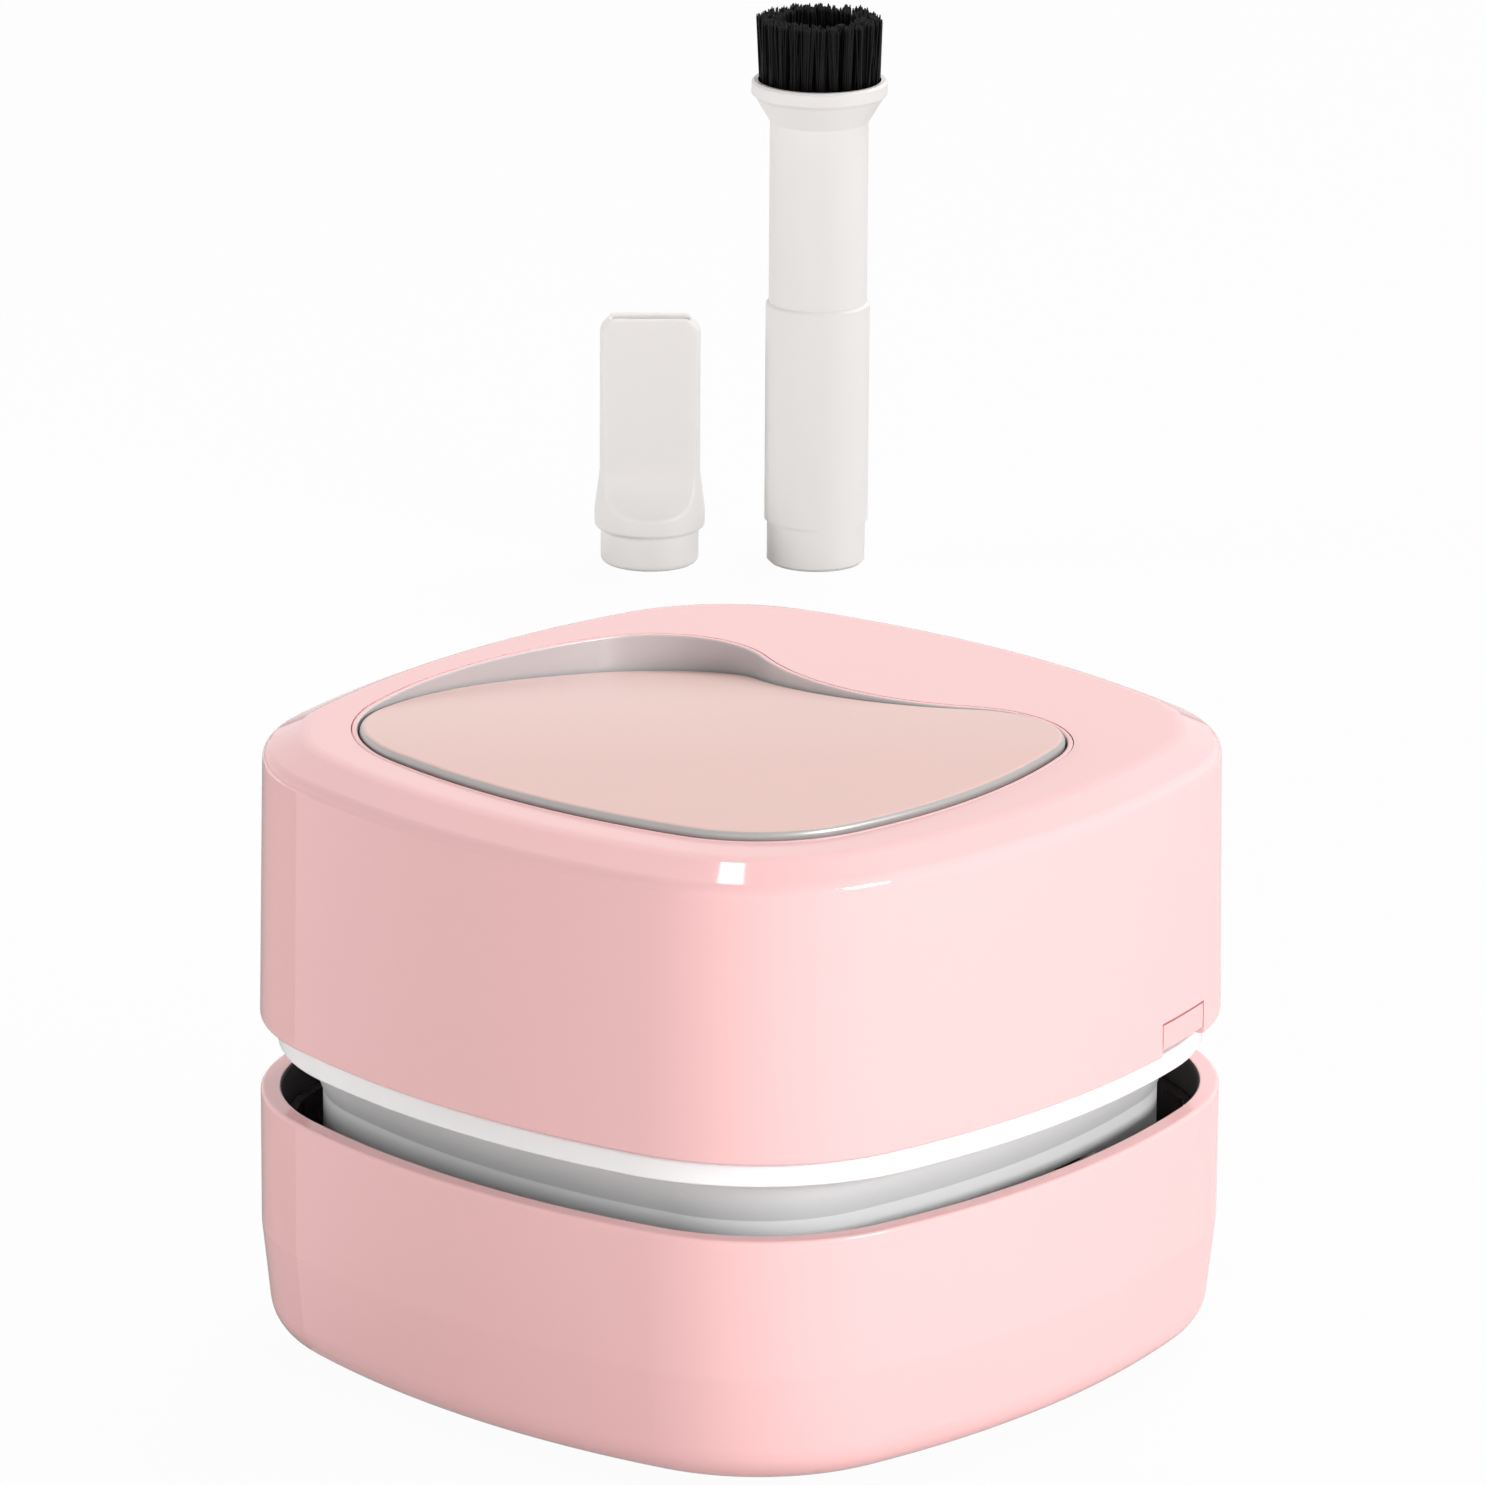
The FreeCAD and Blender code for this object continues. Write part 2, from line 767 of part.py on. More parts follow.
def make_impeller():
    back_low = FAN_TOP - s.fan_back
    body = turned("impeller",
                  (SHAFT_BORE, FAN_LOW), (s.hub_radius, FAN_LOW), (s.hub_radius, back_low),
                  (s.fan_radius, back_low), (s.fan_radius, FAN_TOP), (SHAFT_BORE, FAN_TOP))
    half = s.blade_thickness / 2
    tip_reach = s.fan_radius - s.blade_thickness
    tip_x = tip_reach * cosine(s.blade_lean)
    tip_y = -tip_reach * sine(s.blade_lean)
    blade = polygon((s.blade_inner, -half), (tip_x, tip_y - half),
                    (tip_x, tip_y + half), (s.blade_inner, half))
    strip = add(body, FAN_LOW, back_low, blade)
    repeat(body, s.blade_count, strip)


def make_chassis():
    body = new_body("chassis")
    ring = square_outline(HALF - s.ring_inset, s.body_corner + s.ring_soften,
                          s.body_bulge - s.ring_inset)
    add(body, s.ring_level, RING_TOP, ring)
    round_edges(body, s.edge_round, s.ring_level)
    round_edges(body, s.edge_round, RING_TOP)
    add(body, RING_TOP, SPIGOT_TOP, outline(SPIGOT_INSET), outline(SPIGOT_INSET + s.spigot_wall))
    cut(body, s.ring_level, RING_TOP, circle(s.nose_radius + s.fit_gap))
    reach = s.boss_reach * DIAGONAL
    hole = cut(body, s.ring_level, RING_TOP, circle(s.screw_radius + s.screw_slack, reach, reach))
    repeat(body, Size(4), hole)
    half = s.socket_width / 2 + s.cover_gap
    cut(body, BOARD_TOP - s.slide_gap, SPIGOT_TOP + s.slide_gap,
        port_box(-half, half, -s.shell_wall, 4 * s.shell_wall))


def boss_with_rib():
    """A round boss on the diagonal with a rib that runs into the corner of the wall."""
    reach = HALF - s.body_bulge
    span = s.body_bulge - s.body_corner
    corner = (reach + root(2 * span * span - reach * reach)) / 2 / DIAGONAL + s.body_corner
    half = s.rib_width / 2
    wall = corner - s.shell_wall / 2
    ends = [(s.boss_reach, -half), (wall, -half), (wall, half), (s.boss_reach, half)]
    return polygon(*[((x - y) * DIAGONAL, (x + y) * DIAGONAL) for x, y in ends])


def make_top_shell():
    body = new_body("top_shell")
    add(body, SHELL_LOW, BEVEL_LOW, outline(), taper=-s.shell_taper)
    add(body, BEVEL_LOW, s.body_height, outline(BEVEL_INSET), taper=-s.bevel_slope)
    round_edges(body, s.shell_round, BEVEL_LOW)
    round_edges(body, s.crest_round, s.body_height)
    round_edges(body, s.edge_round, SHELL_LOW)
    cut(body, SHELL_LOW, ROOF_UNDER, outline(s.shell_wall))
    cut(body, ROOF_UNDER, s.body_height, key_outline(BEZEL_OUTSIDE + s.shaft_gap))
    boss_low = SPIGOT_TOP + s.slide_gap
    boss_top = RING_TOP + s.boss_height
    place_on = s.boss_reach * DIAGONAL
    rib = add(body, boss_low, boss_top, boss_with_rib())
    boss = add(body, RING_TOP, boss_top, circle(s.boss_radius, place_on, place_on))
    repeat(body, Size(4), rib, boss)
    hole = cut(body, RING_TOP, RING_TOP + s.screw_length, circle(s.screw_radius + s.shaft_gap,
                                                                place_on, place_on))
    repeat(body, Size(4), hole)
    half = s.cover_width / 2 + s.cover_gap
    cut(body, SHELL_LOW, COVER_HIGH + s.cover_gap,
        port_box(-half, half, -s.shell_wall, 2 * s.shell_wall))


def make_screws():
    reach = s.boss_reach * DIAGONAL
    for name, (side_x, side_y) in CORNERS.items():
        head_low = s.ring_level - s.screw_head_height
        tip = s.ring_level + s.screw_length
        turned(f"chassis_screw_{name}",
               (ZERO, head_low), (s.screw_head, head_low), (s.screw_head, s.ring_level),
               (s.screw_radius, s.ring_level), (s.screw_radius, tip), (ZERO, tip),
               x=side_x * reach, y=side_y * reach)


def make_motor():
    nose_low = RING_TOP - s.nose_length
    inner_floor = RING_TOP + s.motor_wall
    turned("motor_can",
           (s.bearing_radius, nose_low), (s.nose_radius, nose_low), (s.nose_radius, RING_TOP),
           (s.motor_radius, RING_TOP), (s.motor_radius, CAN_TOP), (CAN_INSIDE, CAN_TOP),
           (CAN_INSIDE, inner_floor), (s.bearing_radius, inner_floor))
    bush = s.bearing_radius - s.shaft_gap
    bush_top = nose_low + s.bearing_length
    turned("motor_bearing",
           (SHAFT_BORE, nose_low), (bush, nose_low), (bush, bush_top), (SHAFT_BORE, bush_top))
    inside = CAN_INSIDE - s.shaft_gap
    spigot_low = CAN_TOP - s.cap_spigot
    turned("motor_cap",
           (SHAFT_BORE, spigot_low), (inside, spigot_low), (inside, CAN_TOP),
           (s.motor_radius, CAN_TOP), (s.motor_radius, CAP_TOP), (SHAFT_BORE, CAP_TOP))
    middle = (inner_floor + spigot_low) / 2
    magnet_inner = inside - s.magnet_thickness
    low = middle - s.magnet_length / 2
    high = middle + s.magnet_length / 2
    turned("motor_magnet", (magnet_inner, low), (inside, low), (inside, high), (magnet_inner, high))
    core_radius = magnet_inner - s.cover_gap
    core_low = middle - s.core_length / 2
    core_high = middle + s.core_length / 2
    turned("rotor_core",
           (SHAFT_BORE, core_low), (core_radius, core_low), (core_radius, core_high),
           (SHAFT_BORE, core_high))
    shaft_low = FAN_LOW + s.slide_gap
    shaft_top = CAP_TOP - s.slide_gap
    turned("rotor_shaft",
           (ZERO, shaft_low), (s.shaft_radius, shaft_low), (s.shaft_radius, shaft_top),
           (ZERO, shaft_top))
    bore = s.motor_radius + s.fit_gap
    wall = bore + s.holder_wall
    flange = bore + s.holder_flange
    holder_top = RING_TOP + s.holder_height
    turned("motor_holder",
           (bore, RING_TOP), (flange, RING_TOP), (flange, RING_TOP + s.plate_thickness),
           (wall, RING_TOP + s.plate_thickness), (wall, holder_top), (bore, holder_top))
    half = s.terminal_width / 2
    lugs = [
        primitive("Box", f"terminal_{name}", (side * s.terminal_reach - half, -half, CAP_TOP),
                  Length=s.terminal_width, Width=s.terminal_width, Height=s.terminal_height)
        for name, side in (("plus", 1), ("minus", -1))
    ]
    keep(combine("Compound", "motor_terminals", Links=lugs), "motor_terminals")


def make_battery():
    height = RING_TOP + s.tray_floor + s.cell_radius + s.fit_gap
    ends = s.cell_length / 2
    cavity = ends + s.contact_thickness + s.fit_gap
    half = s.cell_radius + s.fit_gap + s.tray_wall
    tray_end = cavity + s.tray_end
    spigot = s.body_bulge - SPIGOT_INSET - s.spigot_wall
    wall = HALF - s.body_bulge + root(spigot * spigot - tray_end * tray_end)
    middle = wall - s.tray_gap - half
    tray = new_body("battery_tray")
    add(tray, RING_TOP, height - s.tray_open,
        box(middle - half, middle + half, -tray_end, tray_end))
    trough = circle(s.cell_radius + s.fit_gap, middle, height)
    cut(tray, -cavity, cavity, trough, plane="XZ_Plane")
    cell = new_body("battery_cell")
    nub_low = s.cell_nub_length - ends
    add(cell, nub_low, ends, circle(s.cell_radius, middle, height), plane="XZ_Plane")
    add(cell, -ends, nub_low, circle(s.cell_nub_radius, middle, height), plane="XZ_Plane")
    width = s.contact_width
    for name, low in (("plus", ends), ("minus", -ends - s.contact_thickness)):
        spot = (middle - width / 2, low, height - width / 2)
        plate = primitive("Box", f"battery_contact_{name}", spot,
                          Length=width, Width=s.contact_thickness, Height=width)
        keep(plate, f"battery_contact_{name}")


def make_port():
    half = s.cover_width / 2
    cover = new_body("port_cover")
    inset = (COVER_HIGH - SHELL_LOW) * sine(s.shell_taper)
    add(cover, COVER_LOW, COVER_HIGH, outline(inset), outline(s.cover_thickness))
    far = s.body_width
    cut(cover, COVER_LOW, COVER_HIGH, box(-far, far, -far, far),
        port_box(-half, half, -s.shell_wall, 4 * s.shell_wall))
    port = {"x": PORT_X, "y": PORT_Y, "turn": PORT_TURN}
    socket = new_body("usb_socket", **port)
    wide = s.socket_width / 2
    front = s.socket_set_back
    rear = front + s.socket_depth
    top = BOARD_TOP + s.socket_height
    wall = s.socket_wall
    add(socket, BOARD_TOP, top, box(-wide, wide, front, rear))
    cut(socket, -rear + wall, -front, box(wall - wide, wide - wall, BOARD_TOP + wall, top - wall),
        plane="XZ_Plane")
    board = new_body("circuit_board", **port)
    board_front = front + s.shell_wall
    board_rear = board_front + s.board_depth
    board_side = s.board_width - wide
    add(board, RING_TOP, BOARD_TOP, box(-board_side, wide, board_front, board_rear))
    chips = new_body("charge_chip", **port)
    chip_x = -wide - s.chip_width
    chip_y = (board_front + board_rear) / 2
    half_chip = s.chip_width / 2
    add(chips, BOARD_TOP, BOARD_TOP + s.chip_height,
        box(chip_x - half_chip, chip_x + half_chip, chip_y - half_chip, chip_y + half_chip))


# ------------------------------------------------------------------ press key and what it works
def make_bezel():
    body = new_body("key_bezel")
    add(body, BEZEL_LOW, s.body_height, key_outline(BEZEL_OUTSIDE))
    add(body, ROOF_UNDER - s.bezel_flange, ROOF_UNDER, key_outline(BEZEL_OUTSIDE + s.bezel_flange))
    cut(body, BEZEL_FLOOR, s.body_height, key_outline(BEZEL_INSIDE))
    round_edges(body, s.bezel_round, s.body_height)
    hole = s.peg_radius + s.slide_gap
    cut(body, BEZEL_LOW, BEZEL_FLOOR, *[circle(hole, x, y) for x, y in PEGS])


def rolled_prism(name, grow, drop):
    """The key's outline up to its top surface, which is flat and then rolls down to the back."""
    top = KEY_TOP - drop
    blank = free_prism(f"{name}_blank", key_outline(grow), KEY_LOW, top)
    reach = s.body_width
    roll = doc.addObject("Sketcher::SketchObject", f"{name}_roll_sketch")
    run = reach + s.roll_start
    end = Vector(run, math.sqrt(s.key_roll ** 2 - run ** 2), 0)
    centre = Vector(-s.roll_start, top - s.key_roll, 0)
    roll.addGeometry(arc(centre, s.key_roll, end, Vector(0, 1, 0)), False)
    low = top - reach
    corners = [roll.getPoint(0, 2), Vector(-reach, top, 0), Vector(-reach, low, 0),
               Vector(reach, low, 0), roll.getPoint(0, 1)]
    for near, far in zip(corners, corners[1:]):
        roll.addGeometry(Part.LineSegment(near, far), False)
    for number in range(1, 4):
        roll.addConstraint(Sketcher.Constraint("Coincident", number, 2, number + 1, 1))
    roll.addConstraint(Sketcher.Constraint("Coincident", 0, 2, 1, 1))
    roll.addConstraint(Sketcher.Constraint("Coincident", 4, 2, 0, 1))
    roll.addConstraint(Sketcher.Constraint("Vertical", 0, 3, 0, 2))
    constrain(roll, "Radius", 0, s.key_roll)
    pin_point(roll, 0, 3, -s.roll_start, top - s.key_roll)
    pin_point(roll, 2, 1, -reach, top)
    pin_point(roll, 3, 1, -reach, low)
    pin_point(roll, 4, 1, reach, low)
    roll.addConstraint(Sketcher.Constraint("Vertical", 4))
    to_back = Vector(1, 1, 0).normalize()
    roll.Placement = FreeCAD.Placement(Vector(), FreeCAD.Rotation(to_back, Z_UP, Vector(), "XYZ"))
    limit = combine("Extrusion", f"{name}_limit", Base=roll, Solid=True, DirMode="Normal",
                    Symmetric=True)
    bind(limit, "LengthFwd", 2 * reach)
    return combine("Common", f"{name}_common", Base=blank, Tool=limit)


def soften_top(name, block):
    """Round the edge where the key's top surface meets its sides."""
    doc.recompute()
    rim = [
        (number, s.key_round, s.key_round)
        for number, edge in enumerate(block.Shape.Edges, start=1)
        if edge.BoundBox.ZMin > KEY_LOW + s.key_round and edge.Curve.TypeId != "Part::GeomLine"
    ]
    return combine("Fillet", name, Base=block, Edges=rim)


def ceiling_beyond(reach):
    """The level of the key's ceiling at a distance to the back of the switch's middle."""
    run = (s.switch_x + s.switch_y) * DIAGONAL + s.roll_start + reach
    return KEY_CEILING - s.key_roll + root(s.key_roll * s.key_roll - run * run)


def make_key():
    skin = soften_top("key_soft_skin", rolled_prism("key_skin", ZERO, ZERO))
    room = rolled_prism("key_room", -s.key_wall, s.key_skin)
    cap = combine("Cut", "key_cap", Base=skin, Tool=room)
    pegs = [
        primitive("Cylinder", "key_peg", (x, y, KEY_LOW - s.peg_length), Radius=s.peg_radius,
                  Height=KEY_TOP - s.key_skin / 2 - KEY_LOW + s.peg_length)
        for x, y in PEGS
    ]
    keep(combine("MultiFuse", "power_key", Shapes=[cap] + pegs), "power_key")
    half = s.switch_width / 2
    switch = new_body("push_switch", x=s.switch_x, y=s.switch_y)
    add(switch, BEZEL_FLOOR, SWITCH_TOP, box(-half, half, -half, half))
    bore_low = SWITCH_TOP - s.plunger_reach - s.key_travel - s.fit_gap
    cut(switch, bore_low, SWITCH_TOP, circle(s.plunger_radius + s.shaft_gap))
    plunger_low = SWITCH_TOP - s.plunger_reach
    plunger_top = ceiling_beyond(s.plunger_radius)
    turned("switch_plunger",
           (ZERO, plunger_low), (s.plunger_radius, plunger_low), (s.plunger_radius, plunger_top),
           (ZERO, plunger_top), x=s.switch_x, y=s.switch_y)


def make_spring():
    low = BEZEL_FLOOR + s.spring_wire / 2
    rise = ceiling_beyond(s.spring_radius + s.spring_wire / 2) - BEZEL_FLOOR - s.spring_wire
    coil = primitive("Helix", "key_spring_path", (s.switch_x, s.switch_y, low),
                     Radius=s.spring_radius, Height=rise, Pitch=rise / s.spring_turns)
    section = primitive("Circle", "key_spring_section",
                        (s.switch_x + s.spring_radius, s.switch_y, low), Radius=s.spring_wire / 2)
    section.Placement = FreeCAD.Placement(section.Placement.Base,
                                          FreeCAD.Rotation(Vector(1, 0, 0), 90))
    sweep = combine("Sweep", "key_spring", Sections=[section], Spine=coil, Solid=True, Frenet=True)
    keep(sweep, "key_spring")


# ------------------------------------------------------------------ nozzles
def beside_tongue(side, beyond):
    """The space beside the tongue: along its flat face, then hollowed out to the collar."""
    def draw(sketch):
        ring = sketch.GeometryCount
        middle_x = side * (s.tongue_root / 2 + s.tongue_hollow)
        inward, down = Vector(-side, 0, 0), Vector(0, -1, 0)
        heads, high, low = ((inward, down), 1, 2) if side > 0 else ((down, inward), 2, 1)
        middle = Vector(middle_x, s.tongue_level, 0)
        sketch.addGeometry(arc(middle, s.tongue_hollow, *heads), False)
        top = s.nozzle_height + s.tongue_corner
        points = [(middle_x, s.tongue_level - s.tongue_hollow),
                  (side * beyond, s.tongue_level - s.tongue_hollow),
                  (side * beyond, top), (side * s.tongue_tip / 2, top),
                  (side * s.tongue_root / 2, s.tongue_level)]
        for near, far in zip(points, points[1:]):
            sketch.addGeometry(Part.LineSegment(Vector(*near, 0), Vector(*far, 0)), False)
        for line in range(ring + 1, ring + 4):
            sketch.addConstraint(Sketcher.Constraint("Coincident", line, 2, line + 1, 1))
        sketch.addConstraint(Sketcher.Constraint("Coincident", ring, low, ring + 1, 1))
        sketch.addConstraint(Sketcher.Constraint("Coincident", ring, high, ring + 4, 2))
        sketch.addConstraint(Sketcher.Constraint("Horizontal", ring, 3, ring, high))
        sketch.addConstraint(Sketcher.Constraint("Vertical", ring, 3, ring, low))
        constrain(sketch, "Radius", ring, s.tongue_hollow)
        pin_point(sketch, ring, 3, middle_x, s.tongue_level)
        for line, point in enumerate(points[1:4], start=ring + 2):
            pin_point(sketch, line, 1, *point)
    return draw


def make_flat_nozzle():
    body = turned("flat_nozzle",
                  (ZERO, ZERO), (PLUG_RADIUS - s.plug_chamfer, ZERO),
                  (PLUG_RADIUS, s.plug_chamfer), (PLUG_RADIUS, s.nozzle_plug),
                  (COLLAR_RADIUS, s.nozzle_plug), (COLLAR_RADIUS, s.nozzle_collar_top),
                  (NOZZLE_RADIUS, s.nozzle_waist), (NOZZLE_RADIUS, s.nozzle_height),
                  (ZERO, s.nozzle_height), x=s.nozzle_x, y=s.nozzle_y, turn=s.nozzle_turn)
    beyond = 2 * COLLAR_RADIUS
    for side in (1, -1):
        cut(body, -beyond, beyond, beside_tongue(side, beyond), plane="YZ_Plane")
        corner = NOZZLE_RADIUS - s.tongue_corner
        slope = [(side * corner, s.nozzle_height), (side * beyond, s.nozzle_height),
                 (side * beyond, s.nozzle_height - s.tongue_corner - beyond + NOZZLE_RADIUS)]
        cut(body, -beyond, beyond, polygon(*slope), plane="XZ_Plane")
    cut(body, ZERO, s.nozzle_bore_top, circle(PLUG_RADIUS - s.nozzle_wall))
    wide = s.nozzle_slot_width / 2
    high = s.nozzle_slot_height / 2
    cut(body, s.nozzle_collar_top, s.nozzle_height, box(-wide, wide, -high, high))


def make_brush():
    spot = {"x": s.brush_x, "y": s.brush_y}
    socket_low = s.sleeve_top - s.joint_length
    bore = PLUG_RADIUS - s.sleeve_wall
    turned("brush_sleeve",
           (bore, ZERO), (PLUG_RADIUS - s.plug_chamfer, ZERO), (PLUG_RADIUS, s.plug_chamfer),
           (PLUG_RADIUS, s.brush_plug), (SLEEVE_RADIUS, s.brush_plug),
           (SLEEVE_RADIUS, s.sleeve_top - s.edge_round),
           (SLEEVE_RADIUS - s.edge_round, s.sleeve_top), (SOCKET_BORE, s.sleeve_top),
           (SOCKET_BORE, socket_low), (bore, socket_low),
           **spot)
    spigot = SOCKET_BORE - s.shaft_gap
    spigot_low = socket_low + s.slide_gap
    tube_bore = spigot - s.tube_wall
    tube_radius = SLEEVE_RADIUS - s.tube_step
    turned("brush_tube",
           (tube_bore, spigot_low), (spigot, spigot_low), (spigot, s.sleeve_top),
           (tube_radius, s.sleeve_top), (tube_radius, s.tube_top),
           (s.flare_radius, s.flare_top), (tube_bore, s.flare_top), **spot)
    floor = s.flare_top + s.collar_floor
    inside = s.collar_radius - s.collar_wall
    bevel = s.collar_radius - s.flare_radius
    turned("brush_collar",
           (s.collar_hole, s.flare_top), (s.flare_radius, s.flare_top),
           (s.collar_radius, s.flare_top + bevel), (s.collar_radius, s.collar_top - s.edge_round),
           (s.collar_radius - s.edge_round, s.collar_top),
           (inside, s.collar_top), (inside, floor), (s.collar_hole, floor), **spot)
    outer = inside - s.tuft_radius - s.fit_gap
    inner = outer - 2 * s.tuft_radius - s.slide_gap
    make_tufts("brush_bristles", s.tuft_radius, floor, s.brush_height,
               [(outer, s.outer_tufts), (inner, s.inner_tufts)], **spot)


MAKERS = [
    make_lower_shell, make_dust_bin, make_inlet_tube, make_brush_ring, make_feet,
    make_neck, make_filter, make_fan_plate, make_impeller, make_chassis, make_top_shell,
    make_screws, make_motor, make_battery, make_port, make_bezel, make_key, make_spring,
    make_flat_nozzle, make_brush,
]
for make in MAKERS:
    make()
doc.recompute()

failed = [item.Name for item in doc.Objects if {"Invalid", "Error"} & set(item.State)]
if failed:
    raise RuntimeError(f"failed objects: {failed}")
os.makedirs("parts", exist_ok=True)
for item in nodes:
    if item.Shape.isNull() or not item.Shape.isValid():
        raise RuntimeError(f"{item.Label} has no valid shape")
for item in nodes:
    item.Shape.exportStep(os.path.join("parts", f"{item.Label}.step"))
    extent = item.Shape.BoundBox
    print(f"{item.Label:24s} {len(item.Shape.Solids):3d} {item.Shape.Volume:10.1f}"
          f"  x {extent.XMin:7.2f} {extent.XMax:7.2f}  y {extent.YMin:7.2f} {extent.YMax:7.2f}"
          f"  z {extent.ZMin:6.2f} {extent.ZMax:6.2f}")
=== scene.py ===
"""Looks of the desktop mini vacuum cleaner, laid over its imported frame.

Metres, +Z up.  The sides of the body are square to X and Y, its front corner points at -X -Y,
and the two loose nozzles stand behind it towards +X +Y.
"""
import math
import random

import bpy
from mathutils import Euler, Matrix, Vector


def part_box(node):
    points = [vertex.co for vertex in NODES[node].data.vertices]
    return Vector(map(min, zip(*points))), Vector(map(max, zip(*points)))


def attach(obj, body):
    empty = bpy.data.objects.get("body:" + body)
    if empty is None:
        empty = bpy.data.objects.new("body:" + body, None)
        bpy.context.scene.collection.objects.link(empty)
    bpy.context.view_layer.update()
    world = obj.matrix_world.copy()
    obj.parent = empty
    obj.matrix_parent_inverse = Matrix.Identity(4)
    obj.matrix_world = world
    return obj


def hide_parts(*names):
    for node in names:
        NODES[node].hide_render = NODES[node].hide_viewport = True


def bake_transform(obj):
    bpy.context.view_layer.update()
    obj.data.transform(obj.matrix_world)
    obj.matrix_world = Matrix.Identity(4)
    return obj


bl_info = {
    "name": "Desktop mini vacuum looks",
    "version": (1, 0, 0),
    "blender": (4, 5, 0),
    "location": "3D View > Sidebar > Mini vacuum",
    "description": "Finishes, bristles, nozzle, key spring and studio of the desktop mini vacuum",
    "category": "Object",
}

MM = 0.001
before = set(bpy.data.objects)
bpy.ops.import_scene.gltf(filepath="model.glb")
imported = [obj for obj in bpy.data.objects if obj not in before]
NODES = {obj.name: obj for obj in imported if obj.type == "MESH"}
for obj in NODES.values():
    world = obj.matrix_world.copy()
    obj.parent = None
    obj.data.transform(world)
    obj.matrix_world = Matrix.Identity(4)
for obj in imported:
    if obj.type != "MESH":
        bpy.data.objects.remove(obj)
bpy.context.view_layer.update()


# ------------------------------------------------------------------ colours and node trees
def linear(code):
    """The linear colour of an sRGB hex code."""
    channels = [int(code[place:place + 2], 16) / 255 for place in (1, 3, 5)]
    low, knee = 12.92, 0.04045
    return [c / low if c <= knee else ((c + 0.055) / 1.055) ** 2.4 for c in channels]


def node(tree, kind, inputs=None, **settings):
    """Add a node; inputs maps a socket to a value or to another node's output."""
    made = tree.nodes.new(kind)
    for name, value in settings.items():
        setattr(made, name, value)
    for socket, value in (inputs or {}).items():
        if isinstance(value, bpy.types.NodeSocket):
            tree.links.new(value, made.inputs[socket])
        else:
            made.inputs[socket].default_value = value
    return made


def bare_material(name):
    """A material with an empty node tree, and the tree."""
    material = bpy.data.materials.new(name)
    material.use_nodes = True
    material.node_tree.nodes.clear()
    return material, material.node_tree


def mixed_colour(tree, share, first, second):
    """The output of a node that goes from the first colour to the second as share rises."""
    mix = node(tree, "ShaderNodeMix", {0: share, 6: first, 7: second}, data_type="RGBA")
    return mix.outputs[2]


def surface(name, colour, roughness, **sockets):
    """A material of one shader; a socket's name is written with _ for its spaces."""
    material, tree = bare_material(name)
    inputs = {"Base Color": (*colour, 1.0), "Roughness": roughness}
    inputs.update({socket.replace("_", " "): value for socket, value in sockets.items()})
    shader = node(tree, "ShaderNodeBsdfPrincipled", inputs)
    node(tree, "ShaderNodeOutputMaterial", {"Surface": shader.outputs["BSDF"]})
    material.diffuse_color = (*colour, 1.0)
    return material, tree, shader


def uneven_gloss(tree, shader, low, high, patch):
    """Roughness drifts between two values over patches of one size."""
    place = node(tree, "ShaderNodeTexCoord")
    cloud = node(tree, "ShaderNodeTexNoise",
                 {"Vector": place.outputs["Object"], "Scale": 1 / patch, "Detail": 4.0})
    spread = node(tree, "ShaderNodeMapRange",
                  {"Value": cloud.outputs["Fac"], "From Min": 0.3, "From Max": 0.7,
                   "To Min": low, "To Max": high})
    tree.links.new(spread.outputs["Result"], shader.inputs["Roughness"])


def uneven_colour(tree, shader, first, second, patch):
    """The colour drifts between two tones over patches of one size."""
    place = node(tree, "ShaderNodeTexCoord")
    cloud = node(tree, "ShaderNodeTexNoise",
                 {"Vector": place.outputs["Object"], "Scale": 1 / patch, "Detail": 3.0})
    colour = mixed_colour(tree, cloud.outputs["Fac"], (*first, 1.0), (*second, 1.0))
    tree.links.new(colour, shader.inputs["Base Color"])


def skin(tree, shader, wave, height, detail=2.0):
    """A raised and sunken skin: orange peel on a polished moulding, grain on a spark-eroded one."""
    place = node(tree, "ShaderNodeTexCoord")
    cloud = node(tree, "ShaderNodeTexNoise",
                 {"Vector": place.outputs["Object"], "Scale": 1 / wave, "Detail": detail})
    relief = node(tree, "ShaderNodeBump", {"Height": cloud.outputs["Fac"], "Distance": height})
    tree.links.new(relief.outputs["Normal"], shader.inputs["Normal"])


def two_tones(tree, shader, side, top, metal, low, high):
    """Faces that look up show the top tone; the rest shows the side tone, part of it metal."""
    place = node(tree, "ShaderNodeTexCoord")
    upright = node(tree, "ShaderNodeSeparateXYZ", {"Vector": place.outputs["Normal"]})
    share = node(tree, "ShaderNodeMapRange",
                 {"Value": upright.outputs["Z"], "From Min": low, "From Max": high})
    colour = mixed_colour(tree, share.outputs["Result"], (*side, 1.0), top)
    tree.links.new(colour, shader.inputs["Base Color"])
    metallic = node(tree, "ShaderNodeMapRange",
                    {"Value": share.outputs["Result"], "To Min": metal, "To Max": 0.0})
    tree.links.new(metallic.outputs["Result"], shader.inputs["Metallic"])


def lines(tree, shader, pitch, height, direction="Z"):
    """Fine parallel lines: brushing, turning or stacked sheets."""
    place = node(tree, "ShaderNodeTexCoord")
    stripes = node(tree, "ShaderNodeTexWave",
                   {"Vector": place.outputs["Object"], "Scale": 1 / (pitch * 20 / math.tau),
                    "Distortion": 0.4, "Detail": 1.0},
                   bands_direction=direction)
    relief = node(tree, "ShaderNodeBump", {"Height": stripes.outputs["Fac"], "Distance": height})
    tree.links.new(relief.outputs["Normal"], shader.inputs["Normal"])


